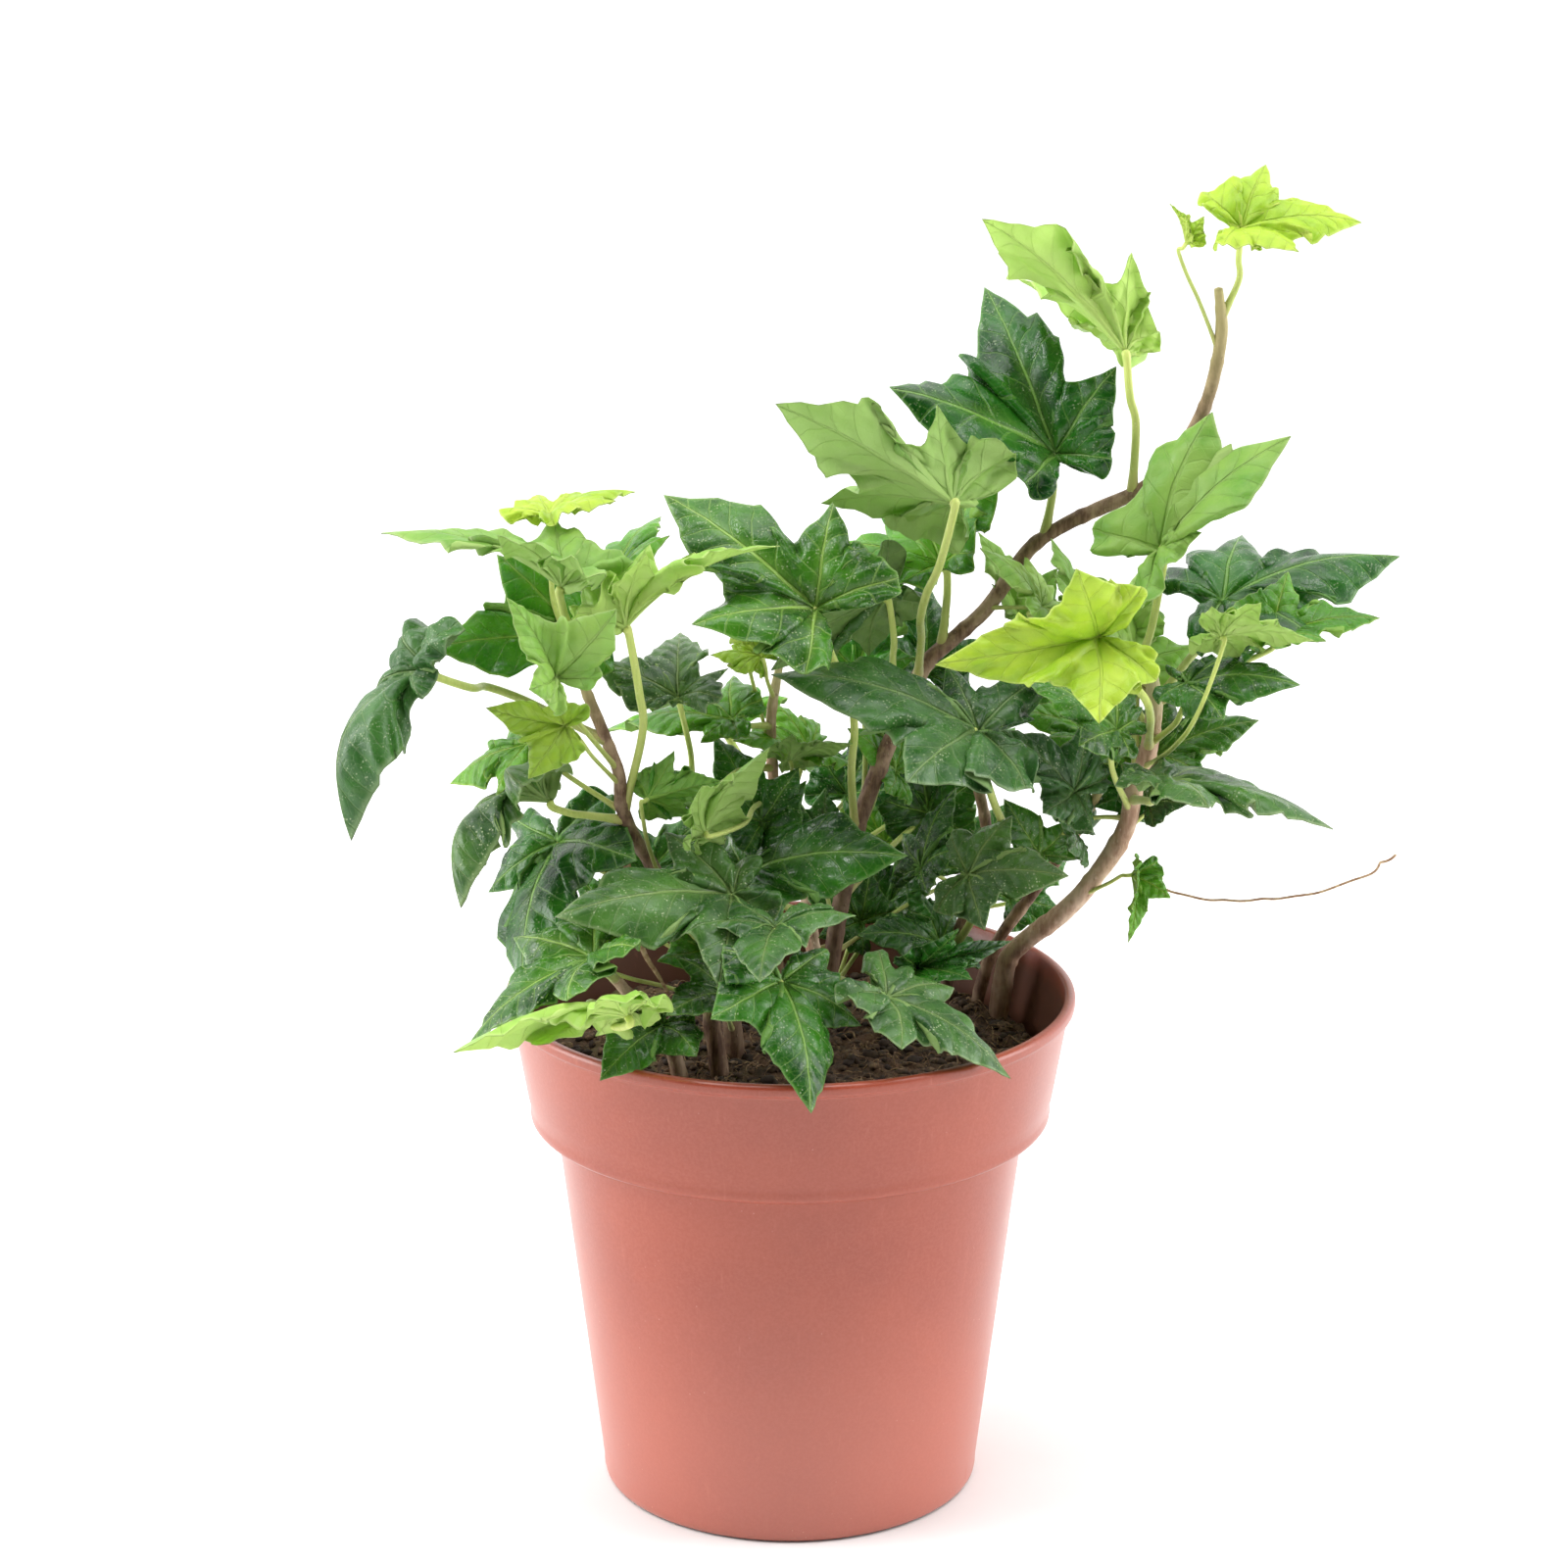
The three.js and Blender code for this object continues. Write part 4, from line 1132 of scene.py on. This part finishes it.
def make_soil():
    step = 0.85 * MM
    rings = int(SOIL_RADIUS / step)
    around = 300
    points = [(0, 0, soil_height(0, 0))]
    for i in range(1, rings + 1):
        for j in range(around):
            turn = 2 * pi * (j + 0.5 * (i % 2)) / around
            r = SOIL_RADIUS * i / rings
            x, y = r * cos(turn), r * sin(turn)
            points.append((x, y, soil_height(x, y)))
    # Down the side of the root ball to the pot's floor.
    for r, z in ((51.8, 88.0), (50.5, 84.6), (47.2, 81.5), (42.8, 42.0), (38.0, 3.2)):
        for j in range(around):
            turn = 2 * pi * (j + 0.5 * (rings % 2)) / around
            points.append(on_ring(r * MM, turn, z * MM))
    points.append((0, 0, 3.2 * MM))
    faces = [(0, 1 + j, 1 + (j + 1) % around) for j in range(around)]
    total = rings + 5
    for i in range(total - 1):
        for j in range(around):
            a, b = 1 + i * around + j, 1 + i * around + (j + 1) % around
            faces.append((a, a + around, b + around, b))
    last = 1 + (total - 1) * around
    for j in range(around):
        faces.append((len(points) - 1, last + (j + 1) % around, last + j))
    shape = Shape()
    shape.add(points, faces)
    shape.build("soil_bed", [soil_material()], ["soil"])


def soil_spots(count, rng, reach):
    spots = []
    while len(spots) < count:
        x, y = rng.uniform(-reach, reach), rng.uniform(-reach, reach)
        if hypot(x, y) < reach:
            spots.append((x, y))
    return spots


def make_crumbs():
    """Loose lumps of peat and chips of bark."""
    rng = random.Random(11)
    shape = Shape()
    base = bmesh.new()
    bmesh.ops.create_icosphere(base, subdivisions=2, radius=1)
    ball = np.array([v.co for v in base.verts])
    faces = [tuple(v.index for v in f.verts) for f in base.faces]
    base.free()
    for x, y in soil_spots(1500, rng, 51 * MM):
        size = rng.uniform(0.35, 1.25) * MM * (1.6 if rng.random() < 0.07 else 1)
        stretch = np.array([rng.uniform(0.6, 1.4), rng.uniform(0.6, 1.4), rng.uniform(0.45, 0.9)])
        seed = rng.uniform(0, 90)
        lumps = np.array([1 + 0.45 * noise.noise(Vector(p) * 1.6 + Vector((seed, 0, 0))) for p in ball])
        turn = rng.uniform(0, pi)
        c, d = cos(turn), sin(turn)
        local = ball * lumps[:, None] * stretch * size
        local = np.stack([local[:, 0] * c - local[:, 1] * d, local[:, 0] * d + local[:, 1] * c,
                          local[:, 2]], axis=1)
        at = np.array([x, y, soil_height(x, y) + size * 0.2])
        shape.add(local + at, faces, tone=rng.random() ** 2)
    look = crumb_material("crumbs", colour(46, 32, 22), colour(150, 120, 88))
    shape.build("soil_crumbs", [look])


def make_fibres():
    """Thin curled fibres of peat and root on the soil."""
    rng = random.Random(12)
    shape = Shape()
    for x, y in soil_spots(700, rng, 50 * MM):
        turn = rng.uniform(0, 2 * pi)
        length = rng.uniform(1.5, 6) * MM
        bend = rng.uniform(-1.6, 1.6)
        lift = rng.uniform(0.1, 1.3) * MM
        path = []
        for i in range(7):
            t = i / 6
            a = turn + bend * t
            px = x + length * (t - 0.5) * cos(a)
            py = y + length * (t - 0.5) * sin(a)
            if hypot(px, py) > 52 * MM:
                px, py = px * 0.95, py * 0.95
            pz = soil_height(px, py) + 0.15 * MM + lift * sin(pi * t)
            path.append((px, py, pz))
        path = open_curve(np.array(path), 3)
        thick = rng.uniform(0.07, 0.2) * MM
        points, faces, _ = tube(path, np.full(len(path), thick), 5)
        shape.add(points, faces, tone=0.35 + 0.65 * rng.random())
    look = crumb_material("fibres", colour(84, 58, 38), colour(186, 156, 116))
    shape.build("soil_fibres", [look])


make_soil()
make_crumbs()
make_fibres()

# ---- floor, light and camera


def floor_material():
    s = Shader("floor")
    place = s.place()
    grain = s.noise(place, 60.0, 2.0)
    skin = s.mix(grain, (0.86, 0.86, 0.86), (0.9, 0.9, 0.9))
    return s.finish(s.surface(skin, 0.9))


floor_mesh = bpy.data.meshes.new("floor")
floor_mesh.from_pydata([(-9, -9, 0), (9, -9, 0), (9, 9, 0), (-9, 9, 0)], [], [(0, 1, 2, 3)])
floor_mesh.materials.append(floor_material())
floor = placed("floor", floor_mesh)

# The room is white all round but dim behind the camera, so that glossy sides turned to it stay deep.
ROOM = 1.5
DIM_FRONT = 0.0
DIM_TO, WHITE_FROM = -0.85, -0.1
world = bpy.data.worlds.new("studio")
scene.world = world
world.use_nodes = True
sky = world.node_tree
sky_way = sky.nodes.new("ShaderNodeTexCoord")
sky_split = sky.nodes.new("ShaderNodeSeparateXYZ")
sky_ramp = sky.nodes.new("ShaderNodeMapRange")
sky_ramp.interpolation_type = "SMOOTHSTEP"
sky_keys = ("From Min", "From Max", "To Min", "To Max")
for key, number in zip(sky_keys, (DIM_TO, WHITE_FROM, DIM_FRONT, ROOM)):
    sky_ramp.inputs[key].default_value = number
sky.links.new(sky_way.outputs["Generated"], sky_split.inputs[0])
sky.links.new(sky_split.outputs["Y"], sky_ramp.inputs["Value"])
sky.nodes["Background"].inputs[0].default_value = (1.0, 1.0, 1.0, 1.0)
sky.links.new(sky_ramp.outputs[0], sky.nodes["Background"].inputs[1])


def add_light(name, where, aim, size, power):
    """An area light turned to a height on the pot's axis."""
    data = bpy.data.lights.new(name, "AREA")
    data.shape = "RECTANGLE"
    data.size, data.size_y = size
    data.energy = power
    light = placed(name, data)
    light.location = where
    light.rotation_euler = (Vector((0, 0, aim)) - Vector(where)).to_track_quat("-Z", "Y").to_euler()


add_light("left_softbox", (-1.4, 0.0, 0.6), 0.12, (0.8, 1.2), 17)
add_light("right_softbox", (1.4, 0.0, 0.5), 0.12, (0.8, 1.2), 13)
add_light("top_softbox", (0.0, -0.1, 1.7), 0.15, (1.0, 1.0), 9)
add_light("gleam_left", (-0.55, -0.35, 1.2), 0.18, (0.2, 0.3), 2.5)
add_light("gleam_right", (0.5, -0.2, 1.2), 0.18, (0.15, 0.3), 1.5)

FOCAL_SHARE = 4610 / 1600    # focal length over the picture's width
TILT = 16.48
camera_data = bpy.data.cameras.new("camera")
camera_data.sensor_width = 36
camera_data.lens = camera_data.sensor_width * FOCAL_SHARE
camera_data.clip_start = 0.01
camera = placed("camera", camera_data)
camera.location = (-1.3 * MM, -900 * MM, 420 * MM)
camera.rotation_euler = (radians(90 - TILT), 0, 0)
scene.camera = camera
scene.view_settings.view_transform = "Standard"

bpy.context.view_layer.update()
